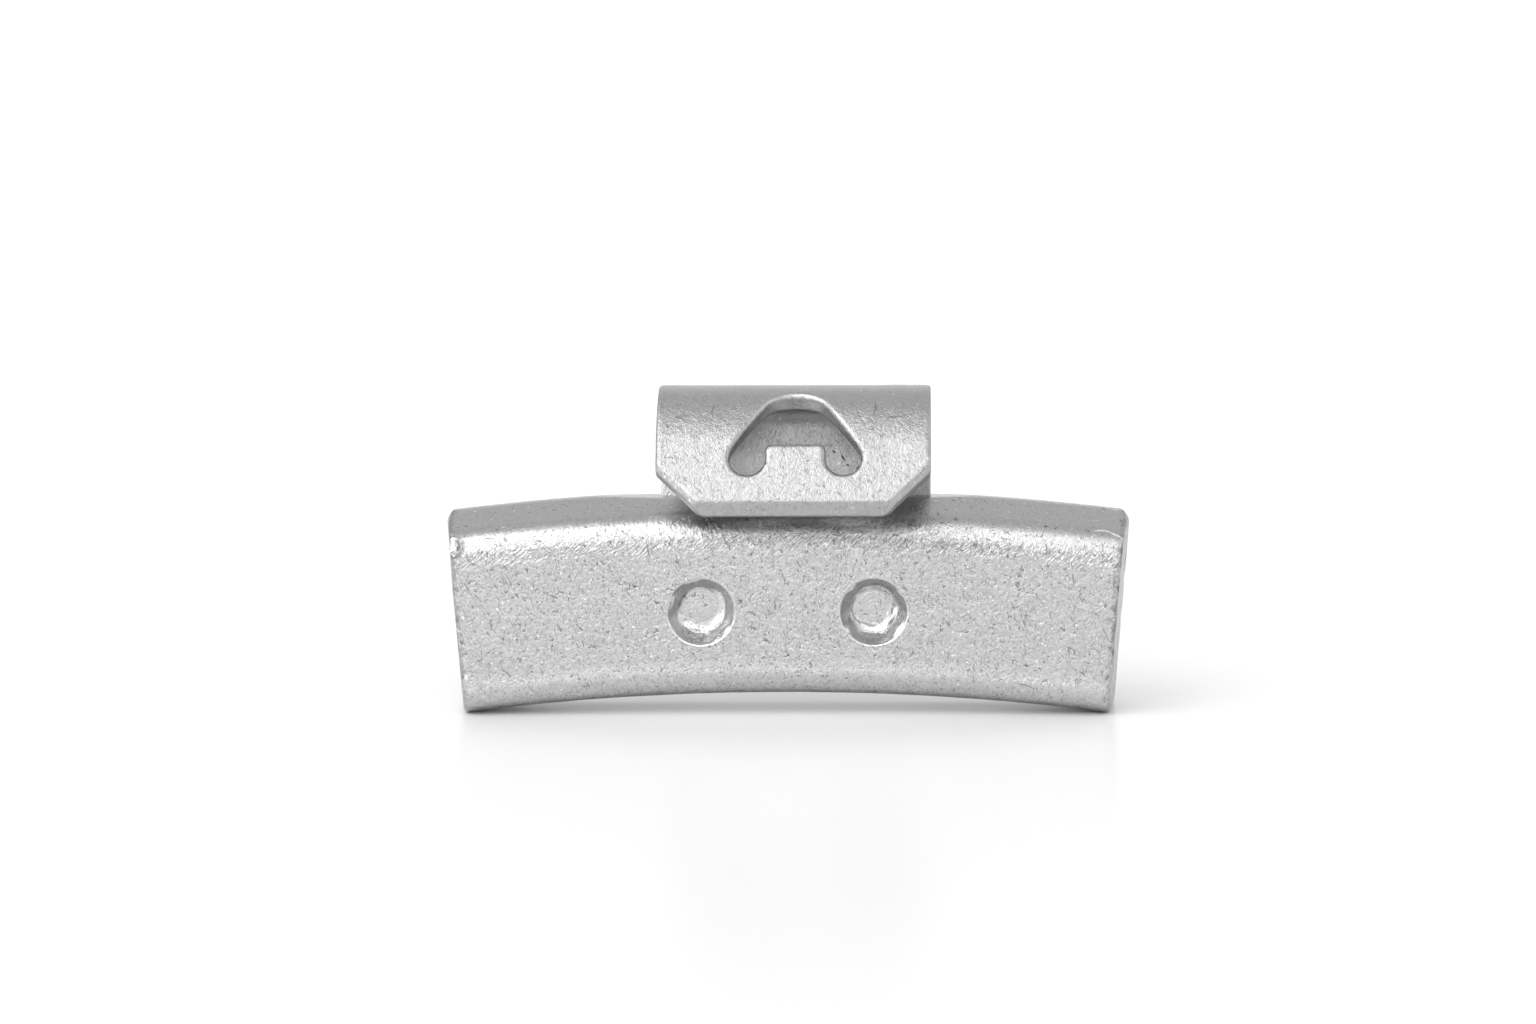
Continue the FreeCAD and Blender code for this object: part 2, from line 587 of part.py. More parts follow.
def cast_round(bar, clip):
    """The weight: the casting, less the room of the tang that it was cast round."""
    weight = doc.addObject("Part::Cut", "weight_body")
    weight.Base = bar
    weight.Tool = clip
    weight.Label = "weight_body"
    cuts(weight, bar.Shape.Volume)
    return weight


bar = add_body("cast_bar")
sweep_casting(bar)
trim_ends(bar)
level_land(bar)
round_ends(bar)
press_dimples(bar)

strip = add_body("clip_strip")
bend_strip(strip)
clip = stamp_strip(strip)
weight = cast_round(bar, clip)

for item in doc.Objects:
    if "Invalid" in item.State or "Error" in item.State:
        raise RuntimeError("%s failed: %s" % (item.Label, item.State))

os.makedirs("parts", exist_ok=True)
for piece in (weight, clip):
    shape = piece.Shape
    if shape.isNull() or not shape.isValid() or len(shape.Solids) != 1:
        raise RuntimeError("%s isn't one valid solid" % piece.Label)
    box = shape.optimalBoundingBox(True, False)
    print("%s: %.1f mm3, X %.2f..%.2f Y %.2f..%.2f Z %.2f..%.2f" % (
        piece.Label, shape.Volume, box.XMin, box.XMax, box.YMin, box.YMax, box.ZMin, box.ZMax))
    shape.exportStep("parts/%s.step" % piece.Label)
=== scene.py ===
"""Looks of a clip-on wheel balance weight: a curved casting and the bent spring clip cast into its crest.

Lengths are written in millimetres and turned to metres when a mesh is made. X runs along the weight, -Y is
the side that lies against the wheel's rim, and Z is up.
"""

import logging
import math
from dataclasses import dataclass, field
from enum import Enum
from functools import reduce

import bmesh
import bpy
import numpy as np
from mathutils import Matrix, Vector, geometry


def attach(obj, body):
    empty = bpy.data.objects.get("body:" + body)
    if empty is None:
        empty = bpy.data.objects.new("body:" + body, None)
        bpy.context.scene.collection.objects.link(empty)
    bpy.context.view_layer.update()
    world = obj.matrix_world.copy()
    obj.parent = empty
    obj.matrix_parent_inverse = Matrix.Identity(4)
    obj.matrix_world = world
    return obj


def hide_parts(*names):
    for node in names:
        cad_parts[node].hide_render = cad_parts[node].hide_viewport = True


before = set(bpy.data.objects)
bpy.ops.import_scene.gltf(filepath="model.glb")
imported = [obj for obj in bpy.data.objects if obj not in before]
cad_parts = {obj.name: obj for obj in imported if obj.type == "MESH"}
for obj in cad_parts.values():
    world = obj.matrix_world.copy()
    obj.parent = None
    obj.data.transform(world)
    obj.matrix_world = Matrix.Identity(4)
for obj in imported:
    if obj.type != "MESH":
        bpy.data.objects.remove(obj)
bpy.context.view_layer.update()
MM = 0.001
PHOTO_WIDTH = 1536
log = logging.getLogger("balance_weight")


class Side(Enum):
    """The two ends of the weight, as signs along X."""

    LEFT = -1
    RIGHT = 1


# Noise and blending, worked out for whole arrays

class Relief:
    """Seeded gradient noise in space, the same on every run."""

    def __init__(self, seed: int) -> None:
        """Makes the tables.

        Args:
            seed: number that picks the pattern.
        """
        rng = np.random.default_rng(seed)
        self.order = np.tile(rng.permutation(256), 3)
        slopes = rng.normal(size=(256, 3))
        self.slopes = slopes / np.linalg.norm(slopes, axis=1, keepdims=True)

    def at(self, places: np.ndarray, wavelength: float) -> np.ndarray:
        """Noise of about -0.7 to 0.7: slopes at the corners of a cubic lattice, faded into each other.

        Args:
            places: points in millimetres, the last axis holding x, y and z.
            wavelength: size of the lattice's cells in millimetres.

        Returns:
            One value for each point.
        """
        scaled = places / wavelength + 57.3
        cell = np.floor(scaled).astype(int)
        inside = scaled - cell
        fade = inside ** 3 * (inside * (inside * 6 - 15) + 10)
        total = np.zeros(places.shape[:-1])
        for corner in np.ndindex(2, 2, 2):
            index = (cell + corner) % 256
            picked = self.order[self.order[self.order[index[..., 0]] + index[..., 1]] + index[..., 2]]
            value = np.sum(self.slopes[picked] * (inside - corner), axis=-1)
            weight = np.prod(np.where(corner, fade, 1 - fade), axis=-1)
            total += value * weight
        return total

    def layered(self, places: np.ndarray, wavelength: float, layers: int) -> np.ndarray:
        """Noise added up over ever finer layers, each half as long and half as strong as the last."""
        return sum(self.at(places + 9.7 * i, wavelength / 2 ** i) / 2 ** i for i in range(layers))


def smooth(low: float, high: float, value: np.ndarray) -> np.ndarray:
    """0 below low, 1 above high and an S-curve between them."""
    share = np.clip((value - low) / (high - low), 0, 1)
    return share * share * (3 - 2 * share)


def soft_min(first: np.ndarray, second: np.ndarray, width: float) -> np.ndarray:
    """The smaller of two values, rounded off where they are closer than width."""
    share = np.clip(0.5 + 0.5 * (second - first) / width, 0, 1)
    return second + (first - second) * share - width * share * (1 - share)


def turned(degrees: np.ndarray) -> np.ndarray:
    """Unit vectors at these angles, anticlockwise from the first axis."""
    angle = np.radians(degrees)
    return np.stack([np.cos(angle), np.sin(angle)], -1)


def spread(knots: list[float], fine: float, coarse: float, reach: float) -> np.ndarray:
    """Rising values through all knots, evenly spaced between neighbours.

    Args:
        knots: values that must be met exactly, rising.
        fine: largest distance between values where knots are close together.
        coarse: largest distance between values where they are further apart than reach.
        reach: see coarse.

    Returns:
        The values.
    """
    parts = []
    for low, high in zip(knots[:-1], knots[1:]):
        step = coarse if high - low > reach else fine
        parts.append(np.linspace(low, high, max(1, math.ceil((high - low) / step - 1e-6)), endpoint=False))
    return np.concatenate(parts + [np.array(knots[-1:])])


def arc_line(centre: tuple[float, float], radius: float, first: float, last: float, count: int
             ) -> tuple[np.ndarray, np.ndarray]:
    """Points on an arc, the last left out, and the directions from its centre.

    Args:
        centre: the arc's centre.
        radius: its radius.
        first: angle in degrees that it starts at.
        last: angle that it ends at.
        count: number of points.

    Returns:
        Points and directions.
    """
    out = turned(np.linspace(first, last, count, endpoint=False))
    return np.array(centre) + radius * out, out


def straight_line(start: np.ndarray, end: np.ndarray, shares: np.ndarray) -> tuple[np.ndarray, np.ndarray]:
    """Points on a straight line, and its normal to the left of its way.

    Args:
        start: where the line starts.
        end: where it ends.
        shares: the points' places as shares of its length.

    Returns:
        Points and normals.
    """
    way = np.asarray(end, float) - np.asarray(start, float)
    points = np.asarray(start, float) + shares[:, None] * way
    normal = np.array([-way[1], way[0]]) / np.linalg.norm(way)
    return points, np.tile(normal, (len(shares), 1))


def make_piece(name: str, places: np.ndarray, faces: list, marks: dict[str, np.ndarray]) -> bpy.types.Object:
    """Makes a mesh object at the origin, its faces pointing outwards.

    Args:
        name: the piece's name.
        places: points in millimetres.
        faces: lists of point numbers.
        marks: values for each point, kept as attributes for the finish.

    Returns:
        The object.
    """
    mesh = bpy.data.meshes.new(name)
    mesh.from_pydata((places * MM).tolist(), [], faces)
    for label, values in marks.items():
        mesh.attributes.new(label, "FLOAT", "POINT").data.foreach_set("value", values.astype(np.float32))
    work = bmesh.new()
    work.from_mesh(mesh)
    bmesh.ops.recalc_face_normals(work, faces=work.faces)
    work.to_mesh(mesh)
    work.free()
    mesh.polygons.foreach_set("use_smooth", np.ones(len(mesh.polygons), bool))
    mesh.update()
    piece = bpy.data.objects.new(name, mesh)
    bpy.context.scene.collection.objects.link(piece)
    return piece


@dataclass(frozen=True)
class Stroke:
    """A short thin mark on a surface: dark where dirt sits in a scratch, and bright where it is a painted
    highlight.
    """

    start: tuple[float, float, float]
    end: tuple[float, float, float]
    out: tuple[float, float, float]
    gain: float
    width: float = 0.07

    def shown(self, bench: "NodeBench", place: bpy.types.NodeSocket) -> bpy.types.NodeSocket:
        """How it changes the coating's brightness: a thin ellipsoid cuts the surface along a thin line.

        Args:
            bench: the material's node tree.
            place: Object coordinates.

        Returns:
            The gain on the stroke, fading to 0 at its outline.
        """
        start, end, out = Vector(self.start), Vector(self.end), Vector(self.out).normalized()
        along = (end - start).normalized()
        turn = Matrix((along, out.cross(along), out)).transposed()
        node = bench.add("ShaderNodeMapping")
        node.vector_type = "TEXTURE"
        node.inputs["Location"].default_value = (start + end) / 2 * MM
        node.inputs["Rotation"].default_value = turn.to_euler()
        node.inputs["Scale"].default_value = Vector(((end - start).length * 0.6, self.width, 0.8)) * MM
        bench.link(place, node.inputs["Vector"])
        length = bench.add("ShaderNodeVectorMath")
        length.operation = "LENGTH"
        bench.link(node.outputs["Vector"], length.inputs[0])
        return bench.times(bench.ramp(length.outputs["Value"], 1.0, 0.45), self.gain)


# The casting

@dataclass
class CastWeight:
    """The curved balance mass, with its levelled land, its two mould-pin marks and its cast skin."""

    length: float = 51.25
    depth: float = 6.4
    height: float = 14.82
    under_radius: float = 187.0
    end_lean: float = 4.4
    end_draft: float = 6.5
    foot_inset: float = 0.6
    edge: float = 0.38
    corner_loss: float = 0.36
    left_loss: float = 0.12
    top_slope: float = 20.5
    shoulder: float = 2.4
    crown: float = 1.7
    foot: float = 2.0
    heel: float = 0.8
    land_drop: float = 0.5
    rim_face: float = 1.25
    pin_spacing: float = 12.7
    pin_height: float = 7.88
    pin_shift: float = 0.14
    pin_mouth: float = 2.5
    pin_floor: float = 1.7
    pin_depth: float = 1.35
    pin_reach: float = 3.6
    chip_middle: tuple[float, float, float] = (-25.4, -2.45, 13.05)
    chip_reach: tuple[float, float, float] = (2.2, 2.2, 1.5)
    # Right of this x, the chip's surface carries painted shade.
    chip_lit: float = -24.15
    scratches: tuple = ((-10.1, 12.9, -9.9, 11.8), (-20.9, 11.5, -20.2, 10.9), (19.2, 13.0, 19.15, 12.0),
                        (16.8, 2.6, 18.4, 2.2), (5.8, 12.6, 5.6, 11.9), (-17.4, 9.3, -16.7, 8.9))
    # Painted highlights: start, end, outward direction and width of each bright line or spot.
    painted_highlights: tuple = (((22.6, -0.05, 13.6), (23.95, -0.05, 13.57), (0, -0.5, 0.87), 0.13),
                      ((23.8, -0.1, 13.57), (24.8, -0.5, 13.21), (0, -0.64, 0.77), 0.13),
                      ((-24.3, -1.1, 6.8), (-24.15, -1.1, 6.3), (0, -1, 0), 0.1),
                      ((-24.05, -1.1, 5.7), (-24.0, -1.1, 5.2), (0, -1, 0), 0.1),
                      ((-24.65, -1.1, 9.95), (-24.6, -1.1, 9.65), (0, -1, 0), 0.1),
                      ((-24.48, -0.5, 13.35), (-24.48, -0.5, 12.6), (-0.6, -0.8, 0), 0.22),
                      ((-24.5, -0.6, 12.4), (-24.5, -0.6, 11.95), (-0.6, -0.8, 0), 0.16))
    gouges: tuple = ((24.7, 12.8, 24.68, 11.95), (24.7, 11.85, 24.64, 10.95), (24.4, 9.85, 24.5, 9.2),
                     (24.35, 7.3, 24.25, 6.4), (24.15, 5.2, 24.1, 4.4), (-24.0, 6.3, -23.85, 6.0))
    pitted: tuple = ((-23.1, 2.5, 1.1), (24.0, 1.5, 1.0), (-22.3, 4.0, 0.5))
    fine: float = 0.1
    coarse: float = 0.2
    skin: Relief = field(default_factory=lambda: Relief(11))

    def __post_init__(self) -> None:
        """Works out the places that follow from the sizes."""
        self.rings = [self.pin_floor - 0.3, self.pin_mouth - 0.15, self.pin_mouth + 0.13, self.pin_reach]
        lean = math.radians(self.end_lean)
        foot_half = self.length / 2 - self.foot_inset - math.tan(lean) * self.height
        self.rise = self.under_radius - math.sqrt(self.under_radius ** 2 - foot_half ** 2)
        self.axis_z = self.rise - self.under_radius
        self.land = self.rise + self.height - self.land_drop
        self.front = -self.rim_face
        self.rear = self.depth - self.rim_face
        self.crest_end = self.rise + self.height - self.length ** 2 / 8 / self.under_radius
        self.pins = [side.value * self.pin_spacing / 2 + self.pin_shift for side in Side]
        slope = math.radians(self.top_slope)
        crown = np.array([self.rear - self.crown, self.height - self.crown])
        fall = self.front + self.shoulder - crown[0] + (self.crown - self.shoulder) * math.sin(slope)
        self.shoulder_height = (
            crown[1] + (self.crown - self.shoulder) * math.cos(slope) + fall * math.tan(slope))
        pin_drop = self.pins[1] ** 2 / 2 / (self.under_radius + self.pin_height)
        self.pin_row = self.pin_height - self.rise + pin_drop

    def outline(self) -> tuple[np.ndarray, np.ndarray]:
        """The section's outline, clockwise from the foot of the rim face: straight runs joined by arcs.

        Returns:
            Points as depth and height, and the outward directions there.
        """
        slope = self.top_slope
        crown_c = np.array([self.rear - self.crown, self.height - self.crown])
        normal, along = turned(90 + slope), turned(180 + slope)
        top_high = crown_c + normal * self.crown
        run = (self.front + self.shoulder + normal[0] * self.shoulder - top_high[0]) / along[0]
        top_low = top_high + along * run
        shoulder_c = top_low - normal * self.shoulder
        knots = ([self.foot] + [self.pin_row - r for r in reversed(self.rings)] + [self.pin_row]
                 + [self.pin_row + r for r in self.rings] + [shoulder_c[1]])
        rows = spread(knots, self.fine, self.coarse, 5.0)[:-1]
        face = np.stack([np.full(len(rows), self.front), rows], -1)
        parts = [
            (face, np.tile([-1.0, 0.0], (len(rows), 1))),
            arc_line(shoulder_c, self.shoulder, 180, 90 + slope, 22),
            straight_line(top_low, top_high, np.linspace(0, 1, 16, endpoint=False)),
            arc_line(crown_c, self.crown, 90 + slope, 0, 16),
            straight_line((self.rear, crown_c[1]), (self.rear, self.heel),
                          np.linspace(0, 1, 28, endpoint=False)),
            arc_line((self.rear - self.heel, self.heel), self.heel, 0, -90, 8),
            straight_line((self.rear - self.heel, 0), (self.front + self.foot, 0),
                          np.linspace(0, 1, 14, endpoint=False)),
            arc_line((self.front + self.foot, self.foot), self.foot, 270, 180, 18),
        ]
        return np.concatenate([p for p, _ in parts]), np.concatenate([n for _, n in parts])

    def end_x(self, y: np.ndarray, h: np.ndarray) -> np.ndarray:
        """Half length at a place of the section: where its arc about the wheel's axis meets the end's plane.

        Args:
            y: depth in the section.
            h: height in the section.

        Returns:
            Distances from the middle.
        """
        lean = math.radians(self.end_lean)
        draft = math.tan(math.radians(self.end_draft)) / math.cos(lean)
        reach = self.length / 2 - self.crest_end * math.tan(lean) - (self.rear - y) * draft
        radius = self.under_radius + h
        share = (reach + self.axis_z * math.tan(lean)) * math.cos(lean) / radius
        return radius * np.sin(lean + np.arcsin(share))

    def columns(self) -> tuple[np.ndarray, ...]:
        """Rows of the grid from pole to pole: the end's face, its rounding, the length, and the same again.

        Returns:
            For each row: side, place along the length, inset of the outline, share of the outline left, and
            how far the row stands back from the end's plane. The place is 0 on the two ends.
        """
        knots = [x + k * r for x in self.pins for k in (-1, 1) for r in self.rings + [0.0]]
        knots = sorted(set(np.round([-self.length / 2] + knots + [self.length / 2], 6)))
        along = spread(knots, self.fine, self.coarse, 4.0)
        share = np.linspace(0, 1, 15)[1:] ** 0.8
        theta = np.radians(np.linspace(90, 0, 8))[1:-1]
        inset = np.concatenate([np.full(len(share), self.edge), self.edge * (1 - np.cos(theta))])
        left = np.concatenate([share, np.ones(len(theta))])
        back = np.concatenate([np.zeros(len(share)), self.edge * (1 - np.sin(theta))])
        blank = np.zeros(len(inset))
        side = np.concatenate([blank - 1, np.zeros(len(along)), blank + 1])
        place = np.concatenate([blank, along, blank])
        inset = np.concatenate([inset, np.zeros(len(along)), inset[::-1]])
        left = np.concatenate([left, np.ones(len(along)), left[::-1]])
        back = np.concatenate([back, np.full(len(along), self.edge), back[::-1]])
        return side, place, inset, left, back

    def shell(self) -> tuple[np.ndarray, np.ndarray, np.ndarray]:
        """The smooth skin: the outline carried along an arc about the wheel's axis, closed by rounded ends.

        Returns:
            Points on a grid of rows along the length and columns round the outline, and each one's height in
            the section.
        """
        outline, normal = self.outline()
        side, place, inset, left, back = (v[:, None] for v in self.columns())
        middle = np.array([(self.front + self.rear) / 2, self.height / 2])
        y = middle[0] + left * (outline[:, 0] - inset * normal[:, 0] - middle[0])
        h = middle[1] + left * (outline[:, 1] - inset * normal[:, 1] - middle[1])
        loss = self.corner_loss * smooth(self.height - 1.4, self.height, h) ** 2
        on_left = (side < 0) | (place < 0)
        end = self.end_x(y, h) - back - loss - on_left * self.left_loss * smooth(8, 14, h)
        half = self.length / 2
        pull = smooth(12.5, half, np.abs(place)) * (end - half) * np.sign(place)
        x = np.where(side == 0, place + pull, side * end)
        z = self.axis_z + np.sqrt((self.under_radius + h) ** 2 - x ** 2)
        return np.stack([x, y, z], -1), h

    def press_marks(self, shell: np.ndarray, h: np.ndarray) -> tuple[np.ndarray, np.ndarray, np.ndarray]:
        """Sinks the two pin marks: squares of the grid become rings, which go in by the mark's section.

        Args:
            shell: the skin's points, which are changed.
            h: their height in the section.

        Returns:
            For each point, how much it belongs to a mark's glossy wall, 0 to 1; its distance from the middle
            of a mark's floor, 0 outside the floors; and how dark the line round the floor is there.
        """
        side, place = (v[:, None] for v in self.columns()[:2])
        on_face = (shell[..., 1] < self.front + 1e-6) & (side == 0)
        wall, floors, darkening = np.zeros((3, *shell.shape[:2]))
        for number, centre in enumerate(self.pins):
            du, dv = place - centre, h - self.pin_row
            ring = np.maximum(np.abs(du), np.abs(dv))
            near = on_face & (ring < self.pin_reach)
            away = np.maximum(np.hypot(du, dv), 1e-9)
            weight = np.where(near, 1 - smooth(self.pin_mouth + 0.3, self.pin_reach, ring), 0)
            shell[..., 0] += weight * (centre + du / away * ring - shell[..., 0])
            shell[..., 2] += weight * (self.pin_height + dv / away * ring - shell[..., 2])
            spot = np.stack([shell[..., 0], ring * 0 + 31.0 * number, shell[..., 2]], -1)
            lump = self.skin.at(spot, 1.3) * 0.36 + self.skin.at(spot + 5, 0.7) * 0.08
            pool = smooth(-0.3, 0.9, (du * 0.35 - dv) / away)
            slope = (self.pin_mouth - ring + lump * smooth(0.0, 0.3, self.pin_mouth - ring)) * (
                self.pin_depth / (self.pin_mouth - self.pin_floor))
            floor = self.pin_depth + self.skin.at(spot + 11, 0.9) * 0.014
            sunk = soft_min(np.maximum(slope, 0), floor, 0.2 + 0.6 * pool)
            shell[..., 1] += np.where(near, np.maximum(sunk, 0), 0)
            brink = self.pin_floor - 0.05 - 0.4 * pool
            glossy = smooth(brink - 0.2, brink, ring + lump * 0.4)
            wall = np.maximum(wall, np.where(near & (ring < self.pin_mouth + 0.05), glossy, 0))
            floors = np.where(near & (ring < self.pin_floor), ring + 0.01, floors)
            line = np.abs(ring - self.pin_floor + 0.1 + lump * 0.5 + 0.3 * pool)
            patch = smooth(0.0, 0.25, self.skin.at(spot + 23, 0.9) + 0.12)
            darkening = np.maximum(darkening, np.where(near, smooth(0.13, 0.03, line) * patch, 0))
        return wall, floors, darkening

    def normals(self, shell: np.ndarray) -> np.ndarray:
        """Outward directions of a grid of points that closes round its columns.

        Args:
            shell: the points.

        Returns:
            Unit vectors.
        """
        down = np.roll(shell, -1, 1) - np.roll(shell, 1, 1)
        along = np.gradient(shell, axis=0)
        out = np.cross(along, down)
        out /= np.maximum(np.linalg.norm(out, axis=-1, keepdims=True), 1e-12)
        middle = shell - shell.mean(axis=(0, 1))
        return out * np.sign(np.sum(out * middle))

    def roughen(self, shell: np.ndarray, out: np.ndarray, swell: np.ndarray) -> tuple[np.ndarray, np.ndarray]:
        """Gives the skin its waves and nicks, and takes out the chip: points in an ellipsoid move to its skin.

        Args:
            shell: the skin's points.
            out: their outward directions.
            swell: how strong the waves are at each, 0 to 1.

        Returns:
            The new points, and how far each was from the chip's middle, 1 on the ellipsoid.
        """
        side, _, _, left, _ = self.columns()
        waves = (self.skin.layered(shell, 2.6, 3) * 0.022 - 0.02) * swell
        edge = (np.abs(side) * smooth(0, 1, left))[:, None]
        nicks = -0.10 * smooth(0.25, 0.5, self.skin.layered(shell + 40, 1.1, 2)) * edge
        chip = np.array(self.chip_middle)
        away = np.linalg.norm((shell - chip) / self.chip_reach, axis=-1, keepdims=True)
        moved = shell + out * (waves + nicks)[..., None]
        return np.where(away < 1, chip + (shell - chip) / away, moved), away[..., 0]

    def wear(self, shell: np.ndarray, h: np.ndarray, away: np.ndarray, ahead: np.ndarray, slant: np.ndarray
             ) -> tuple[np.ndarray, np.ndarray, np.ndarray]:
        """Where the coating is worn, darkened or given painted light: along the ends, at the foot and round
        the chip.

        Args:
            shell: the skin's points.
            h: their height in the section.
            away: see roughen.
            ahead: which points face the rim.
            slant: how far they face upwards, in degrees.

        Returns:
            How worn the coating is, how dark it is, partly as painted shade, and how much painted light it
            gets at each point, 0 to 1.
        """
        side, place, inset, left, _ = (v[:, None] for v in self.columns())
        x, y, z = shell.transpose(2, 0, 1)
        cap = np.abs(side)
        brink = np.maximum(smooth(0.22, 0.0, np.abs(np.abs(place) - self.length / 2)) * (cap == 0),
                           cap * smooth(0.5, 0.1, inset) * (left == 1))
        foot = smooth(2.0, 1.0, y)
        worn = np.maximum(brink * np.where(x > 0, 1.0, 0.45), smooth(0.7, 0.2, h) * foot * 0.8)
        for middle_x, middle_z, size in self.pitted:
            gap = np.hypot(x - middle_x, z - middle_z)
            worn = np.maximum(worn, smooth(size, size * 0.3, gap) * ahead)
        # Painted shade: the chip's hollow right of chip_lit is darkened, and so is a thin ring round the chip.
        chip = smooth(1.14, 1.06, away) * np.where(away <= 1.001, (x > self.chip_lit) * 0.75, 0.8)
        sole = smooth(0.45, 0.1, h + self.skin.at(shell, 1.2) * 0.5) * foot * 0.21
        end = cap * (left == 1) * (side < 0) * smooth(-0.45, 0.0, self.skin.at(shell + 60, 0.8)) * 0.15
        dark = np.maximum.reduce([chip, sole, end * (1 - smooth(1.1, 1.0, away))])
        # Painted highlight on the band just left of the clip.
        beside_clip = smooth(2.6, 1.2, np.abs(x + 8.0)) * smooth(8, 16, slant) * smooth(62, 54, slant)
        # Painted highlights: bright flecks along the left end's front edge.
        nicks = brink * smooth(0.28, 0.4, self.skin.at(shell + 70, 0.9)) * (x < 0) * (y < 0)
        # Painted light: the rim face's lowest band, the band beside the clip and the edge flecks are
        # lightened.
        bright = np.maximum.reduce([0.2 * smooth(3.2, 1.6, h) * ahead, 0.22 * beside_clip * ahead, nicks])
        return worn, dark, bright

    def close(self, shell: np.ndarray, marks: dict[str, np.ndarray]) -> bpy.types.Object:
        """Makes the piece from the grid: squares round the skin, and a fan of triangles at each end.

        Args:
            shell: the skin's points.
            marks: values for each, for the finish.

        Returns:
            The piece.
        """
        rows, cols = shell.shape[:2]
        grid = np.arange(rows * cols).reshape(rows, cols)
        onward = np.roll(grid, -1, 1)
        quads = np.stack([grid[:-1], onward[:-1], onward[1:], grid[1:]], -1).reshape(-1, 4)
        poles = np.stack([shell[0].mean(0), shell[-1].mean(0)])
        fans = np.concatenate([
            np.stack([np.full(cols, rows * cols), onward[0], grid[0]], -1),
            np.stack([np.full(cols, rows * cols + 1), grid[-1], onward[-1]], -1)])
        marks = {label: np.append(values.ravel(), [0.0, 0.0]) for label, values in marks.items()}
        places = np.concatenate([shell.reshape(-1, 3), poles])
        return make_piece("cast_weight", places, quads.tolist() + fans.tolist(), marks)

    def strokes(self) -> tuple[Stroke, ...]:
        """The scratches and gouges of the rim face, and painted highlights on the band's right end, the left
        edge and the chip, as marks for the finish.
        """
        dark = [Stroke((a, -1.1, b), (c, -1.1, d), (0, -1, 0), -0.5) for a, b, c, d in self.scratches]
        deep = [Stroke((a, -0.9, b), (c, -0.9, d), (0, -1, 0), -0.5, 0.14) for a, b, c, d in self.gouges]
        # Painted highlights on the band's right end, the left edge and the chip.
        bright = [Stroke(start, end, out, 1.0, width) for start, end, out, width in self.painted_highlights]
        return (*dark, *deep, *bright)

    def build(self) -> bpy.types.Object:
        """Makes the casting: skin, pin marks, levelled land and the unevenness of casting and coating.

        Returns:
            The piece.
        """
        shell, h = self.shell()
        wall, turning, darkening = self.press_marks(shell, h)
        shell[..., 2] = soft_min(shell[..., 2], np.full_like(h, self.land), 0.06)
        out = self.normals(shell)
        slant = np.degrees(np.arcsin(np.clip(out[..., 2], -1, 1)))
        ahead = out[..., 1] < 0
        fray = self.shoulder_height - 0.4 + self.skin.at(shell, 1.6) * 0.8
        band = 0.1 * smooth(10, 24, slant) * smooth(62, 50, slant)
        comb = (smooth(fray - 0.4, fray + 0.4, h) * smooth(20, 8, slant) + band) * ahead
        foot = smooth(4.3, 3.7, shell[..., 2] + self.skin.at(shell, 3.0) * 0.5)
        calm = np.maximum(smooth(22, 38, slant), foot * 0.2)
        shell, away = self.roughen(shell, out, (1 - 0.5 * calm) * (1 - wall))
        worn, dark, bright = self.wear(shell, h, away, ahead, slant)
        x = shell[..., 0]
        # Painted shadow of the clip's lip on the shoulder below it, fading towards the right; that zone is
        # also rougher and darker.
        under = smooth(7.9, 5.8, np.abs(x - 1.8)) * smooth(8, 60, slant) * smooth(10.5, 12.0, h) * ahead
        return self.close(shell, {
            "comb": comb, "calm": np.maximum(calm * (1 - under), (turning > 0) * 0.8), "wall": wall,
            "worn": worn, "shade": under * (1 - 0.6 * smooth(1.5, 6.0, x)), "rough_and_painted_shade": under,
            "turning": turning, "darkening": np.maximum(darkening * 0.7, dark), "painted_light": bright})


# The clip

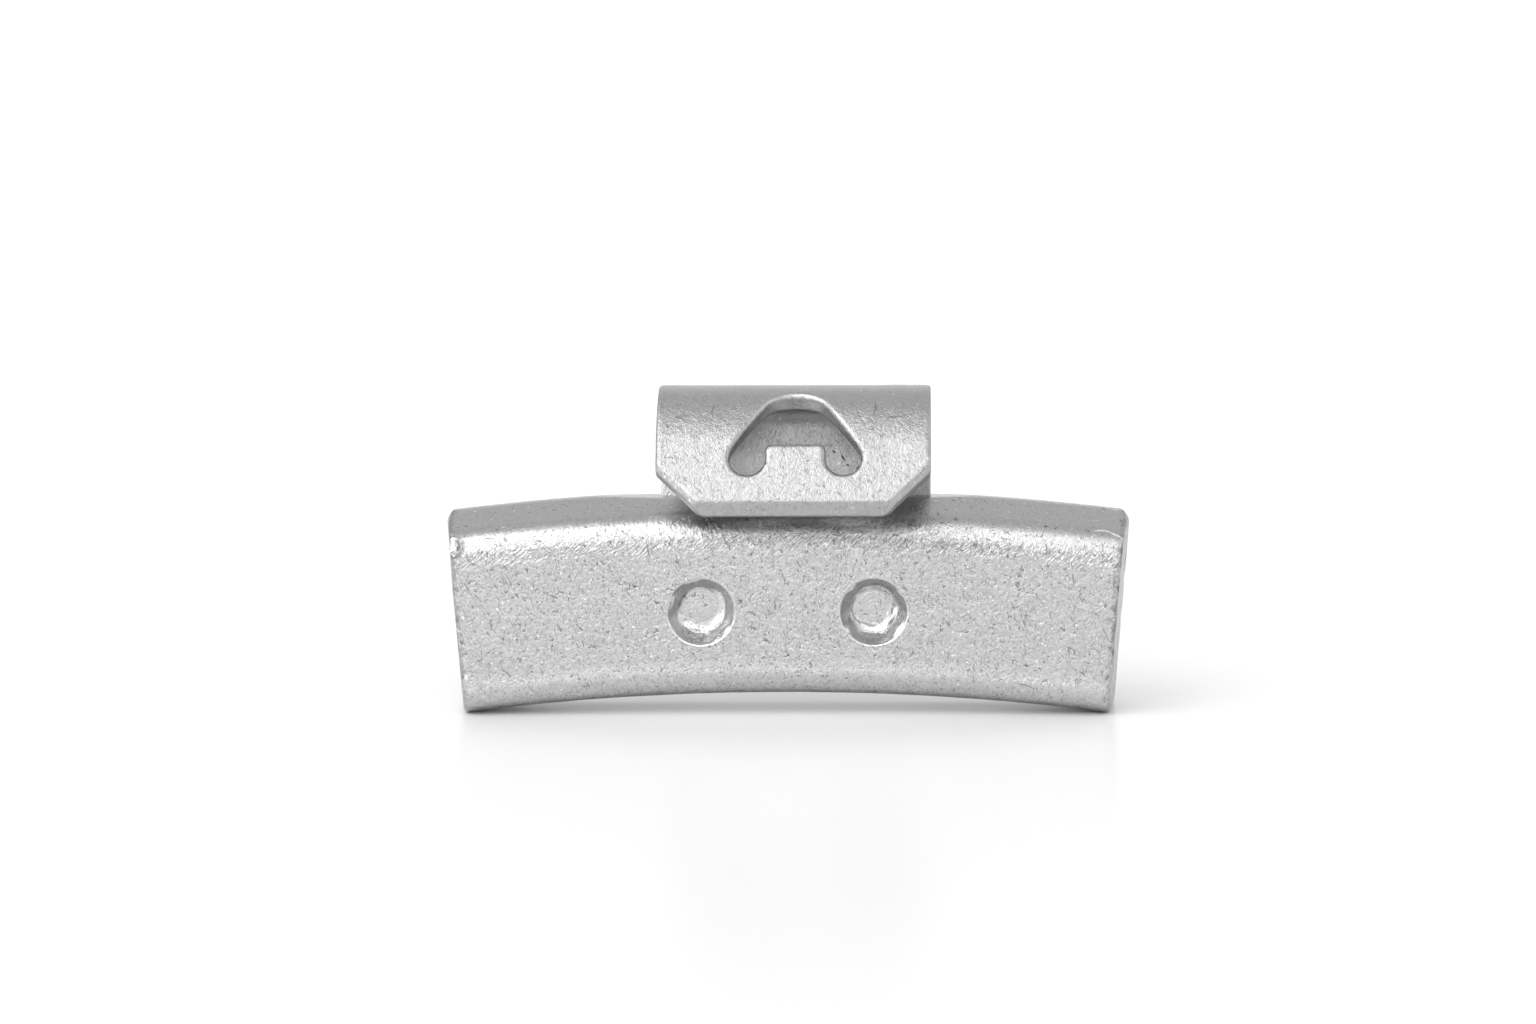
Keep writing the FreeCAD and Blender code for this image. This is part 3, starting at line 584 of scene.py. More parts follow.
@dataclass
class SpringClip:
    """The strip of spring steel: stamped flat with a window, a tooth and cut corners, then bent to a hook."""

    width: float = 20.0
    sheet: float = 1.3
    shift: float = 0.7
    leg_depth: float = 4.75
    leg_lean: float = 8.0
    tang: float = 8.2
    rise: float = 8.38
    bend: float = 1.9
    brow: float = 7.5
    brow_start: float = 80.0
    lip_lean: float = 30.0
    lip: float = 5.08
    bevel_run: float = 0.73
    bevel_bite: float = 0.94
    cut_run: float = 0.4
    cut_bite: float = 0.35
    corner: float = 3.2
    edge: float = 0.28
    window_edge: float = 0.36
    lower_edge: float = 0.1
    burr: float = 0.12
    window_shift: float = 0.15
    window_top: float = 1.51
    arch: float = 2.5
    lobe: float = 1.3
    lobe_spacing: float = 7.0
    lobe_row: float = 7.45
    tooth_tip: float = 6.36
    tooth_width: float = 4.4
    tooth_round: float = 0.5
    grain: float = 0.16
    scratches: tuple = ((-5.9, 2.7, -5.85, 4.2), (5.95, 2.1, 5.9, 4.2), (6.3, 4.15, 8.4, 4.0),
                        (-8.6, 4.0, -8.1, 4.3))
    leg_scratches: tuple = ((3.41, 19.14, 3.67, 18.97), (4.08, 18.79, 4.39, 18.34),
                            (4.39, 18.17, 4.61, 17.98), (5.14, 17.81, 5.46, 17.95))
    skin: Relief = field(default_factory=lambda: Relief(23))

    def __post_init__(self) -> None:
        """Works out the bends' centres and the strip's length, as depth and height."""
        body = CastWeight()
        lean = math.radians(self.leg_lean)
        outer = self.bend + self.sheet
        climb = self.rise - outer
        leg_y = self.leg_depth - body.rim_face
        tight_y = leg_y - (self.bend - climb * math.sin(lean)) / math.cos(lean)
        self.tight_c = np.array([tight_y, body.land + climb])
        self.wide_c = self.tight_c - turned(180 - self.brow_start) * (self.brow - outer)
        self.wide_length = self.brow * math.radians(self.brow_start - self.lip_lean)
        self.tight_length = outer * math.radians(180 - self.brow_start + self.leg_lean)
        touch = self.tight_c + turned(-self.leg_lean) * self.bend
        self.leg_top = float(np.dot(touch - [leg_y, body.land], turned(90 - self.leg_lean)))
        self.start = -self.tight_length - self.leg_top - self.tang
        self.end = self.wide_length + self.lip

    def place(self, u: np.ndarray, s: np.ndarray, w: np.ndarray) -> np.ndarray:
        """Where a place of the flat strip goes when it is bent: straight, round two arcs, and straight again.

        Args:
            u: across the strip from its middle.
            s: along its outer surface, from the start of the wide bend towards the lip.
            w: off the outer surface, below 0 into the sheet.

        Returns:
            Points in millimetres.
        """
        outer = self.bend + self.sheet
        join = 180 - self.brow_start
        on_wide = np.clip(s, 0, self.wide_length)
        on_tight = np.clip(s, -self.tight_length, 0)
        angle = join + np.degrees(on_wide / self.brow + on_tight / outer)
        normal = turned(angle)
        down = np.stack([-normal[..., 1], normal[..., 0]], -1)
        front = self.wide_c + normal * (self.brow + w)[..., None]
        rear = self.tight_c + normal * (outer + w)[..., None]
        spot = np.where((s > 0)[..., None], front, rear) + down * (s - on_wide - on_tight)[..., None]
        return np.stack([self.shift + u, spot[..., 0], spot[..., 1]], -1)

    def lip_top(self, u: np.ndarray, s: np.ndarray) -> np.ndarray:
        """Height of the outer surface: level, then down the bevel at the tip and the small one at the cuts.

        Args:
            u: across the strip from its middle.
            s: along its outer surface.

        Returns:
            Heights, 0 on the level surface.
        """
        cut = (self.width / 2 + self.end - self.corner - np.abs(u) - s) / math.sqrt(2)
        tip = np.clip((s - self.end + self.bevel_run) / self.bevel_run, 0, 1) * self.bevel_bite
        return -np.maximum(tip, np.clip(1 - cut / self.cut_run, 0, 1) * self.cut_bite)

    def blank(self) -> tuple[np.ndarray, np.ndarray, np.ndarray]:
        """Outline of the flat strip, anticlockwise, its corners rounded.

        Returns:
            Points, outward directions, and the rounding of the outer edge at each.
        """
        half, cut = self.width / 2, self.corner
        corners = np.array([[-half, self.start], [half, self.start], [half, self.end - cut],
                            [half - cut, self.end], [cut - half, self.end], [-half, self.end - cut]])
        points, out = round_polygon(corners, [0.4, 0.4, 0.45, 1.1, 1.1, 0.45], self.grain)
        on_side = np.abs(out[:, 0]) * smooth(0.9, 0.99, np.abs(out[:, 0]))
        return points, out, self.burr + (self.edge - self.burr) * on_side

    def window(self) -> tuple[np.ndarray, np.ndarray, np.ndarray]:
        """Outline of the window, clockwise: an arch, two lobes, and the tooth between them.

        Returns:
            Points, directions into the opening, and the rounding of the outer edge at each.
        """
        arch_c = np.array([0.0, self.window_top + self.arch])
        lobe_c = np.array([self.lobe_spacing / 2, self.lobe_row])
        gap = lobe_c - arch_c
        side = math.degrees(math.atan2(gap[1], gap[0]) - math.acos((self.arch - self.lobe) / np.hypot(*gap)))
        tip = np.array([self.tooth_width / 2, self.tooth_tip])
        gap = tip - lobe_c
        meet = math.degrees(math.atan2(gap[1], gap[0]) - math.acos(self.lobe / np.hypot(*gap))) % 360
        arch_half, _ = arc_line(arch_c, self.arch, -90, side, 24)
        lobe, _ = arc_line(lobe_c, self.lobe, side, meet, 40)
        root = lobe_c + self.lobe * turned(meet)
        along = (root - tip) / np.linalg.norm(root - tip)
        half = math.acos(float(np.dot(along, [-1, 0]))) / 2
        back = self.tooth_round / math.tan(half)
        middle = along + [-1, 0]
        centre = tip + middle / np.linalg.norm(middle) * self.tooth_round / math.sin(half)
        low, high = tip + along * back, tip + np.array([-back, 0])
        angles = [math.degrees(math.atan2(*(p - centre)[::-1])) for p in (low, high)]
        corner, _ = arc_line(centre, self.tooth_round, angles[0], angles[1], 7)
        right = np.concatenate([arch_half, lobe, root[None], corner, high[None]])
        left = right[::-1] * [-1, 1]
        loop = even_loop(np.concatenate([right, left[:-1]]), 0.12)
        ahead = np.roll(loop, -1, 0) - np.roll(loop, 1, 0)
        into = np.stack([-ahead[:, 1], ahead[:, 0]], -1) / np.linalg.norm(ahead, axis=1, keepdims=True)
        return loop + [self.window_shift, 0], into, np.full(len(loop), self.window_edge)

    def fill(self, outer: np.ndarray, hole: np.ndarray) -> tuple[np.ndarray, np.ndarray]:
        """Fills the strip's face between its two outlines with even triangles.

        Args:
            outer: the strip's outline.
            hole: the window's outline.

        Returns:
            Points, those of the outlines first, and triangles.
        """
        rows = []
        land_s = -self.tight_length - self.leg_top - 0.6
        for low, high, step in ((self.start, land_s, 0.7), (land_s, self.end, self.grain)):
            s = np.arange(low + step / 2, high, step * 0.87)
            u = np.arange(-self.width / 2, self.width / 2 + step, step)
            u, s = np.meshgrid(u, s)
            u[1::2] += step / 2
            rows.append(np.stack([u.ravel(), s.ravel()], -1))
        inner = np.concatenate(rows)
        crease = self.end - self.bevel_run
        inner = inner[np.abs(inner[:, 1] - crease) > self.grain * 0.6]
        u = np.arange(-self.width / 2, self.width / 2, self.grain)
        inner = np.concatenate([inner, np.stack([u, np.full(len(u), crease)], -1)])
        edge = np.concatenate([outer, hole])
        near = np.concatenate([np.min(np.hypot(*(part[:, None] - edge[None]).transpose(2, 0, 1)), axis=1)
                               for part in np.array_split(inner, 40)])
        keep = (near > self.grain * 0.55) & inside_loop(inner, outer) & ~inside_loop(inner, hole)
        points = np.concatenate([edge, inner[keep]])
        n, m = len(outer), len(hole)
        ring = np.concatenate([np.stack([np.arange(n), np.roll(np.arange(n), -1)], -1),
                               np.stack([np.arange(m), np.roll(np.arange(m), -1)], -1) + n])
        result = geometry.delaunay_2d_cdt([Vector(p) for p in points], ring.tolist(), [], 0, 1e-7)
        spots = np.array([tuple(v) for v in result[0]])
        faces = np.array(result[2])
        middle = spots[faces].mean(axis=1)
        keep = inside_loop(middle, outer) & ~inside_loop(middle, hole)
        return spots, faces[keep]

    def rim(self, points: np.ndarray, out: np.ndarray, rounding: np.ndarray) -> np.ndarray:
        """The cut edge of the sheet: a rounded upper corner, the wall, and a small rounded lower corner.

        Args:
            points: the outline.
            out: directions out of the steel at its points.
            rounding: the upper corner's radius at its points.

        Returns:
            Grid of u, s and w: rows across the edge, columns along it. The first and last row lie on the
            two faces, where the face's filling begins.
        """
        theta = np.radians(np.linspace(0, 90, 6))
        walls = np.linspace(0, 1, 7)[1:-1]
        small, blank = self.lower_edge, rounding * 0
        rows = []
        for t in theta:
            rows.append((rounding * (math.sin(t) - 1), -rounding * (1 - math.cos(t))))
        for t in walls:
            rows.append((blank, -rounding + t * (rounding - self.sheet + small)))
        for t in theta[::-1][1:]:
            rows.append((blank + small * (math.sin(t) - 1), blank - self.sheet + small * (1 - math.cos(t))))
        rows.append((-rounding, blank - self.sheet))
        return np.stack([np.column_stack([points + out * e[:, None], w]) for e, w in rows])

    def strokes(self) -> tuple[Stroke, ...]:
        """The scratches of the brow and those on the leg behind the window, as marks for the finish.

        Returns:
            The marks.
        """
        found = [Stroke((a, 3.8, b), (c, 3.8, d), (0, -1, 0), -0.85, 0.11)
                 for a, b, c, d in self.leg_scratches]
        for line in self.scratches:
            u, s = np.array(line[::2]), np.array(line[1::2])
            start, end = self.place(u, s, u * 0)
            out = (self.place(u, s, u * 0 + 1) - self.place(u, s, u * 0)).mean(0)
            found.append(Stroke(tuple(start), tuple(end), tuple(out), -0.4, 0.1))
        return tuple(found)

    def coat_marks(self, flat: np.ndarray, top: np.ndarray, drift: np.ndarray) -> dict[str, np.ndarray]:
        """Values for the finish: what the bends and the bevels do to the coating, and painted shade and light
        inside the hook, on the bevel and on the crest.

        Args:
            flat: places in the flat strip, as u, s and w.
            top: the outer surface's height there, see lip_top.
            drift: how far the crest's border wanders.

        Returns:
            One value for each point under each name.
        """
        u, s, w = flat.T
        inside = smooth(0.3, 0.1, w + self.sheet)
        bevel = smooth(-0.02, -0.12, top) * smooth(-0.5, -0.2, w)
        return {
            "calm": smooth(2.6, 0.8, s) * smooth(-6.2, -4.5, s),
            "comb": smooth(1, 4, s) * 0.12,
            # Painted shadow of the lip on the right part of the leg's inner side.
            "shade": inside * smooth(-6.5, -8.0, s) * smooth(6.5, 9.0, u) * 0.75,
            # Painted shade on the inner side of the hook's roof and lip.
            "painted_hook_shade": inside * smooth(-8.0, -4.0, s) * 0.6,
            # Painted light on the lower part of the leg's inner side.
            "painted_light": inside * smooth(-7.2, -9.0, s) * 0.4,
            # Painted shade on the crest.
            "crest": smooth(7.0, 4.0, s + drift) * (1 - inside),
            # Rougher, and painted shade, on the bevel and inside the hook.
            "rough_and_painted_shade": np.maximum(0.5 * bevel, inside * 0.6),
            "lip": smooth(3.5, 6.0, s) * (1 - bevel)}

    def build(self) -> bpy.types.Object:
        """Makes the clip: two filled faces and two cut edges of the flat strip, bent, then made uneven.

        Returns:
            The piece.
        """
        outer, outer_n, outer_r = self.blank()
        hole, hole_n, hole_r = self.window()
        flat, faces = self.fill(outer - outer_n * outer_r[:, None], hole - hole_n * hole_r[:, None])
        sheets = [(np.column_stack([flat, np.full(len(flat), w)]), faces) for w in (0.0, -self.sheet)]
        for loop in ((outer, outer_n, outer_r), (hole, hole_n, hole_r)):
            grid = self.rim(*loop)
            rows, cols = grid.shape[:2]
            index = np.arange(rows * cols).reshape(rows, cols)
            onward = np.roll(index, -1, 1)
            quads = np.stack([index[:-1], onward[:-1], onward[1:], index[1:]], -1).reshape(-1, 4)
            sheets.append((grid.reshape(-1, 3), quads))
        flat, faces = weld(sheets)
        u, s, w = flat.T
        top = self.lip_top(u, s)
        squeezed = top + (w / self.sheet) * (self.sheet + top)
        spots = self.place(u, s, squeezed)
        out = self.place(u, s, squeezed + 0.01) - spots
        out /= np.linalg.norm(out, axis=1, keepdims=True)
        face = smooth(-0.25, -0.02, w) - smooth(0.25, 0.02, w + self.sheet)
        waves = self.skin.layered(spots, 2.2, 3) * 0.02 - 0.016
        spots = spots + out * (waves * face)[:, None]
        drift = self.skin.layered(spots + 80, 3.0, 3) * 1.6
        return make_piece("bent_clip", spots, faces, self.coat_marks(flat, top, drift))


def round_polygon(corners: np.ndarray, radii: list[float], step: float) -> tuple[np.ndarray, np.ndarray]:
    """An anticlockwise polygon with rounded corners, as even points.

    Args:
        corners: its corners.
        radii: each corner's rounding.
        step: distance between points on straight runs.

    Returns:
        Points and outward directions.
    """
    before = np.roll(corners, 1, 0) - corners
    after = np.roll(corners, -1, 0) - corners
    before /= np.linalg.norm(before, axis=1, keepdims=True)
    after /= np.linalg.norm(after, axis=1, keepdims=True)
    half = np.arccos(np.clip(np.sum(before * after, 1), -1, 1)) / 2
    reach = np.array(radii) / np.tan(half)
    starts, ends = corners + before * reach[:, None], corners + after * reach[:, None]
    centres = corners + (before + after) / np.linalg.norm(before + after, axis=1, keepdims=True) * (
        np.array(radii) / np.sin(half))[:, None]
    points, out = [], []
    for i, radius in enumerate(radii):
        first = math.degrees(math.atan2(*(starts[i] - centres[i])[::-1]))
        turn = 180 - math.degrees(2 * half[i])
        spots, normals = arc_line(centres[i], radius, first, first + turn, max(4, int(turn / 11)))
        points.append(spots)
        out.append(normals)
        onward = starts[(i + 1) % len(radii)]
        length = np.linalg.norm(onward - ends[i])
        shares = np.linspace(0, 1, max(2, round(length / step)), endpoint=False)
        spots, normals = straight_line(ends[i], onward, shares)
        points.append(spots)
        out.append(-normals)
    return np.concatenate(points), np.concatenate(out)


def even_loop(loop: np.ndarray, step: float) -> np.ndarray:
    """A closed line as points at even distances along it.

    Args:
        loop: the line's points.
        step: distance between the new ones.

    Returns:
        The new points.
    """
    closed = np.concatenate([loop, loop[:1]])
    length = np.concatenate([[0], np.cumsum(np.hypot(*np.diff(closed, axis=0).T))])
    at = np.linspace(0, length[-1], round(length[-1] / step), endpoint=False)
    return np.stack([np.interp(at, length, closed[:, k]) for k in (0, 1)], -1)


def inside_loop(places: np.ndarray, loop: np.ndarray) -> np.ndarray:
    """Whether points lie inside a closed line: a ray to the right crosses it an odd number of times.

    Args:
        places: the points.
        loop: the line's points.

    Returns:
        One answer for each point.
    """
    (ax, ay), (bx, by) = loop.T, np.roll(loop, -1, 0).T
    found = []
    for part in np.array_split(places, 40):
        x, y = part[:, :1], part[:, 1:]
        spans = (ay > y) != (by > y)
        with np.errstate(divide="ignore", invalid="ignore"):
            cross = ax + (y - ay) * (bx - ax) / (by - ay)
        found.append(np.sum(spans & (cross > x), axis=1) % 2 == 1)
    return np.concatenate(found)


def weld(sheets: list[tuple[np.ndarray, np.ndarray]]) -> tuple[np.ndarray, list]:
    """Joins meshes that meet at shared points.

    Args:
        sheets: points and faces of each.

    Returns:
        Points of the whole, each once, and faces.
    """
    points = np.concatenate([p for p, _ in sheets])
    starts = np.cumsum([0] + [len(p) for p, _ in sheets])
    _, first, number = np.unique(np.round(points, 5), axis=0, return_index=True, return_inverse=True)
    number = number.ravel()
    faces = []
    for (_, part), start in zip(sheets, starts):
        faces += number[part + start].tolist()
    return points[first], faces


# Finishes

@dataclass(frozen=True)
class CoatPattern:
    """The coating's patterns in space, which both its height and its brightness follow."""

    rolls: bpy.types.NodeSocket
    worms: bpy.types.NodeSocket
    deep: bpy.types.NodeSocket
    flecks: bpy.types.NodeSocket


@dataclass(frozen=True)
class SilverCoat:
    """A metallic silver coating, wrinkled as it dried: crinkles, grain, streaks, pits and specks."""

    name: str
    tint: tuple[float, float, float]
    roughness: float
    crinkle: float
    coarseness: float
    stain: float
    bump_reach: float = 0.00002
    comb_depth: float = 12.0
    turning_pitch: float = 0.26
    # Brightness taken by each mark: the hook's inside, the rough zones, the crest and the shadow marks are
    # painted shade; the dark lines and patches are partly painted shade; the lip is plainly darker.
    losses: tuple = (("painted_hook_shade", 0.5), ("rough_and_painted_shade", 0.2), ("crest", 0.13), ("lip", 0.15), ("shade", 0.7),
                     ("darkening", 0.75))

    def make(self, strokes: tuple[Stroke, ...]) -> bpy.types.Material:
        """Builds the material from noise on Object coordinates and the piece's own marks.

        Args:
            strokes: the piece's scratches and scraped spots.

        Returns:
            The material.
        """
        material = bpy.data.materials.new(self.name)
        material.use_nodes = True
        bench = NodeBench(material.node_tree)
        shader = material.node_tree.nodes["Principled BSDF"]
        shader.inputs["Metallic"].default_value = 1.0
        place = bench.add("ShaderNodeTexCoord").outputs["Object"]
        pattern = self.pattern(bench, place)
        bump = bench.add("ShaderNodeBump")
        bump.inputs["Strength"].default_value = 1.0
        bump.inputs["Distance"].default_value = self.bump_reach
        bench.link(self.height(bench, place, pattern), bump.inputs["Height"])
        bench.link(bump.outputs["Normal"], shader.inputs["Normal"])
        bench.link(self.gloss(bench, place), shader.inputs["Roughness"])
        shade = self.shade(bench, place, pattern)
        wavy = bench.bend(place, 1300, 0.00035)
        for stroke in strokes:
            shade = bench.times(shade, bench.plus(stroke.shown(bench, wavy), 1.0))
        bench.link(bench.tinted(self.tint, shade), shader.inputs["Base Color"])
        return material

    def pattern(self, bench: "NodeBench", place: bpy.types.NodeSocket) -> CoatPattern:
        """The noises: rolls of the wrinkled skin, worm-like lines, deep cracks and pits, and white flecks.

        Args:
            bench: the material's node tree.
            place: Object coordinates.

        Returns:
            The patterns; rolls are around 0, the others run from 0 to 1.
        """
        size, rough = self.coarseness, self.relief(bench)
        worms = bench.math("MAXIMUM", self.strokes(bench, place, 0.35, 4300 / size, 1400 / size, 0.52, 0.72),
                           self.scores(bench, place, 1500 / size, 0.04, 0.46, 0.54))
        cracks = self.strokes(bench, place, -0.35, 3100, 1200, 0.66, 0.72)
        pits = bench.ramp(bench.noise(place, 2900, 1, 0.4, 0.2), 0.68, 0.75)
        wear = bench.times(bench.ramp(bench.noise(place, 1500, 3, 0.6, 0.5), 0.5, 0.62), bench.mark("worn"))
        specks = bench.stretch(place, (1.0, 1.0, 1.0), (0.0, 0.0, 0.7))
        skin = bench.stretch(place, (2900 / size, 2400 / size, 1700 / size), (0.0, 0.2, 0.0))
        return CoatPattern(
            rolls=bench.times(bench.minus(bench.noise(skin, 1.0, 4, 0.6, 1.3), 0.5), rough),
            worms=bench.times(worms, rough),
            deep=bench.math("MAXIMUM", bench.math("MAXIMUM", cracks, pits), wear),
            flecks=bench.ramp(bench.noise(specks, 3600, 1, 0.4, 0.3), 0.71, 0.76))

    def height(self, bench: "NodeBench", place: bpy.types.NodeSocket, pattern: CoatPattern
               ) -> bpy.types.NodeSocket:
        """The coating's height: rolls, less worms and deep spots, plus combed border and turned floors.

        Args:
            bench: the material's node tree.
            place: Object coordinates.
            pattern: see pattern.

        Returns:
            The height, in units of the bump's reach.
        """
        comb = bench.noise(bench.stretch(place, (4200, 1300, 1300), (0.0, -0.75, 0.0)), 1.0, 2, 0.5, 1.2)
        radius = bench.plus(bench.mark("turning"), bench.times(bench.noise(place, 500, 1, 0.5, 0.0), 0.5))
        turns = bench.math("SINE", bench.times(radius, 2 * math.pi / self.turning_pitch), 0.0)
        turns = bench.times(turns, bench.ramp(bench.mark("turning"), 0.0, 0.3))
        height = bench.times(pattern.rolls, self.crinkle)
        height = bench.minus(height, bench.times(pattern.worms, self.crinkle * 0.2))
        height = bench.minus(height, bench.times(pattern.deep, self.crinkle * 0.35))
        combed = bench.times(bench.minus(comb, 0.5), bench.mark("comb"), self.comb_depth)
        return bench.plus(height, combed, bench.times(turns, 0.1))

    def gloss(self, bench: "NodeBench", place: bpy.types.NodeSocket) -> bpy.types.NodeSocket:
        """The shader's roughness: patchy, less on the pin marks' walls and more in the rough zones under the
        lip, on the bevel and inside the hook.
        """
        patches = bench.noise(place, 420, 3, 0.55, 0.3)
        gloss = bench.plus(bench.times(patches, 0.1), self.roughness - 0.05)
        gloss = bench.minus(gloss, bench.times(bench.mark("wall"), self.roughness * 0.5))
        return bench.plus(gloss, bench.times(bench.mark("rough_and_painted_shade"), 0.2))

    def shade(self, bench: "NodeBench", place: bpy.types.NodeSocket, pattern: CoatPattern
              ) -> bpy.types.NodeSocket:
        """The coating's brightness: flecks, rolls and painted light raise it; worms, deep spots and the marks
        take from it, many of them as painted shade.

        Args:
            bench: the material's node tree.
            place: Object coordinates.
            pattern: see pattern.

        Returns:
            A factor for the coating's tint.
        """
        shade = bench.minus(bench.plus(bench.times(pattern.flecks, 0.5), 1.04),
                            bench.times(pattern.worms, self.stain))
        # Painted light on the pin marks' walls, and on the painted-light mark's spots.
        gain = bench.plus(bench.times(bench.mark("wall"), 0.2), bench.mark("painted_light"))
        shade = bench.plus(shade, bench.times(pattern.rolls, 0.4))
        shade = bench.times(shade, bench.plus(gain, 1.0))
        shade = bench.minus(shade, bench.times(pattern.deep, self.stain * 1.4))
        mottle = bench.times(bench.noise(place, 1100, 4, 0.6, 1.2), bench.mark("lip"))
        shade = bench.minus(shade, bench.times(mottle, 0.3))
        for label, loss in self.losses:
            shade = bench.times(shade, bench.minus(1.0, bench.times(bench.mark(label), loss)))
        return shade

    def relief(self, bench: "NodeBench") -> bpy.types.NodeSocket:
        """How wrinkled the coating is: fully on the rim face, less on the band, top and glossy walls."""
        quiet = bench.math("MAXIMUM", bench.mark("calm"), bench.mark("wall"))
        return bench.minus(1.0, bench.times(quiet, 0.7))

    def scores(self, bench: "NodeBench", place: bpy.types.NodeSocket, scale: float, width: float,
               low: float, high: float) -> bpy.types.NodeSocket:
        """Thin curved lines: where one noise crosses its middle value, kept where a second noise is high.

        Args:
            bench: the material's node tree.
            place: coordinates.
            scale: how finely the lines wind.
            width: how far the noise may be from its middle value.
            low: the second noise below this hides the lines.
            high: the second noise above this shows them fully.

        Returns:
            0 on the ground, 1 on a line.
        """
        off = bench.math("ABSOLUTE", bench.minus(bench.noise(place, scale, 1, 0.5, 0.9), 0.5), 0.0)
        return bench.times(bench.ramp(off, width, 0.0),
                           bench.ramp(bench.noise(place, scale * 1.7, 0, 0.5, 0.0), low, high))

    def strokes(self, bench: "NodeBench", place: bpy.types.NodeSocket, lean: float, across: float,
                along: float, low: float, high: float) -> bpy.types.NodeSocket:
        """Short curved strokes that lean one way.

        Args:
            bench: the material's node tree.
            place: coordinates.
            lean: angle of the strokes from upright, in radians.
            across: how finely they repeat across their length.
            along: how finely they repeat along it.
            low: noise below this is plain ground.
            high: noise above this is a full stroke.

        Returns:
            0 on the ground, 1 on a stroke.
        """
        spot = bench.stretch(place, (across, across, along), (0.0, -lean, 0.0))
        return bench.ramp(bench.noise(spot, 1.0, 1, 0.5, 2.2), low, high)


class NodeBench:
    """Puts nodes into one node tree and joins them."""

    def __init__(self, tree: bpy.types.NodeTree) -> None:
        """Keeps the tree."""
        self.tree = tree

    def add(self, kind: str) -> bpy.types.Node:
        """A new node of this kind."""
        return self.tree.nodes.new(kind)

    def link(self, source: bpy.types.NodeSocket, target: bpy.types.NodeSocket) -> None:
        """Joins an output to an input."""
        self.tree.links.new(source, target)

    def feed(self, value: object, target: bpy.types.NodeSocket) -> None:
        """Sets an input to a number, or joins an output to it.

        Args:
            value: number or output.
            target: the input.
        """
        if isinstance(value, (int, float)):
            target.default_value = value
        else:
            self.link(value, target)

    def math(self, operation: str, first: object, second: object) -> bpy.types.NodeSocket:
        """One operation on two numbers or outputs.

        Args:
            operation: the Math node's operation.
            first: its first value.
            second: its second value, unused by operations of one value.

        Returns:
            The result.
        """
        node = self.add("ShaderNodeMath")
        node.operation = operation
        self.feed(first, node.inputs[0])
        self.feed(second, node.inputs[1])
        return node.outputs[0]

    def plus(self, *values: object) -> bpy.types.NodeSocket:
        """Sum of numbers and outputs."""
        return reduce(lambda first, second: self.math("ADD", first, second), values)

    def times(self, *values: object) -> bpy.types.NodeSocket:
        """Product of numbers and outputs."""
        return reduce(lambda first, second: self.math("MULTIPLY", first, second), values)

    def minus(self, first: object, second: object) -> bpy.types.NodeSocket:
        """The first value less the second."""
        return self.math("SUBTRACT", first, second)

    def mark(self, label: str) -> bpy.types.NodeSocket:
        """One of the piece's own point values.

        Args:
            label: its name.

        Returns:
            The value, 0 where the piece has none of that name.
        """
        node = self.add("ShaderNodeAttribute")
        node.attribute_name = label
        return node.outputs["Fac"]

    def noise(self, place: bpy.types.NodeSocket, scale: float, detail: float, rough: float,
              distortion: float) -> bpy.types.NodeSocket:
        """Noise texture in space.

        Args:
            place: coordinates.
            scale: how fine it is.
            detail: number of finer layers.
            rough: strength of the finer layers.
            distortion: how far it is drawn out of shape.

        Returns:
            Values around 0.5.
        """
        node = self.add("ShaderNodeTexNoise")
        self.link(place, node.inputs["Vector"])
        for label, value in (("Scale", scale), ("Detail", detail), ("Roughness", rough),
                             ("Distortion", distortion)):
            node.inputs[label].default_value = value
        return node.outputs["Fac"]

    def stretch(self, place: bpy.types.NodeSocket, scale: tuple, turn: tuple) -> bpy.types.NodeSocket:
        """Coordinates turned and then scaled apart along the axes.

        Args:
            place: coordinates.
            scale: factor along each axis.
            turn: angle about each axis in radians.

        Returns:
            The new coordinates.
        """
        turned_by = self.add("ShaderNodeMapping")
        turned_by.inputs["Rotation"].default_value = turn
        self.link(place, turned_by.inputs["Vector"])
        scaled = self.add("ShaderNodeMapping")
        scaled.inputs["Scale"].default_value = scale
        self.link(turned_by.outputs["Vector"], scaled.inputs["Vector"])
        return scaled.outputs["Vector"]

    def bend(self, place: bpy.types.NodeSocket, scale: float, reach: float) -> bpy.types.NodeSocket:
        """Coordinates shifted a little to and fro by noise, so that straight marks come out wavy.

        Args:
            place: coordinates.
            scale: how finely they are shifted.
            reach: from the furthest shift to one side to that to the other, in metres.

        Returns:
            The new coordinates.
        """
        node = self.add("ShaderNodeTexNoise")
        self.link(place, node.inputs["Vector"])
        node.inputs["Scale"].default_value = scale
        node.inputs["Detail"].default_value = 1.0
        shift = self.add("ShaderNodeVectorMath")
        shift.operation = "MULTIPLY_ADD"
        self.link(node.outputs["Color"], shift.inputs[0])
        shift.inputs[1].default_value = (reach, reach, reach)
        self.link(place, shift.inputs[2])
        middle = self.add("ShaderNodeVectorMath")
        middle.operation = "SUBTRACT"
        self.link(shift.outputs["Vector"], middle.inputs[0])
        middle.inputs[1].default_value = (reach / 2, reach / 2, reach / 2)
        return middle.outputs["Vector"]

    def ramp(self, value: bpy.types.NodeSocket, low: float, high: float) -> bpy.types.NodeSocket:
        """A straight ramp; it falls where low is above high.

        Args:
            value: what it follows.
            low: the value that gives 0.
            high: the value that gives 1.

        Returns:
            0 to 1.
        """
        node = self.add("ShaderNodeMapRange")
        self.link(value, node.inputs["Value"])
        node.inputs["From Min"].default_value = low
        node.inputs["From Max"].default_value = high
        return node.outputs["Result"]

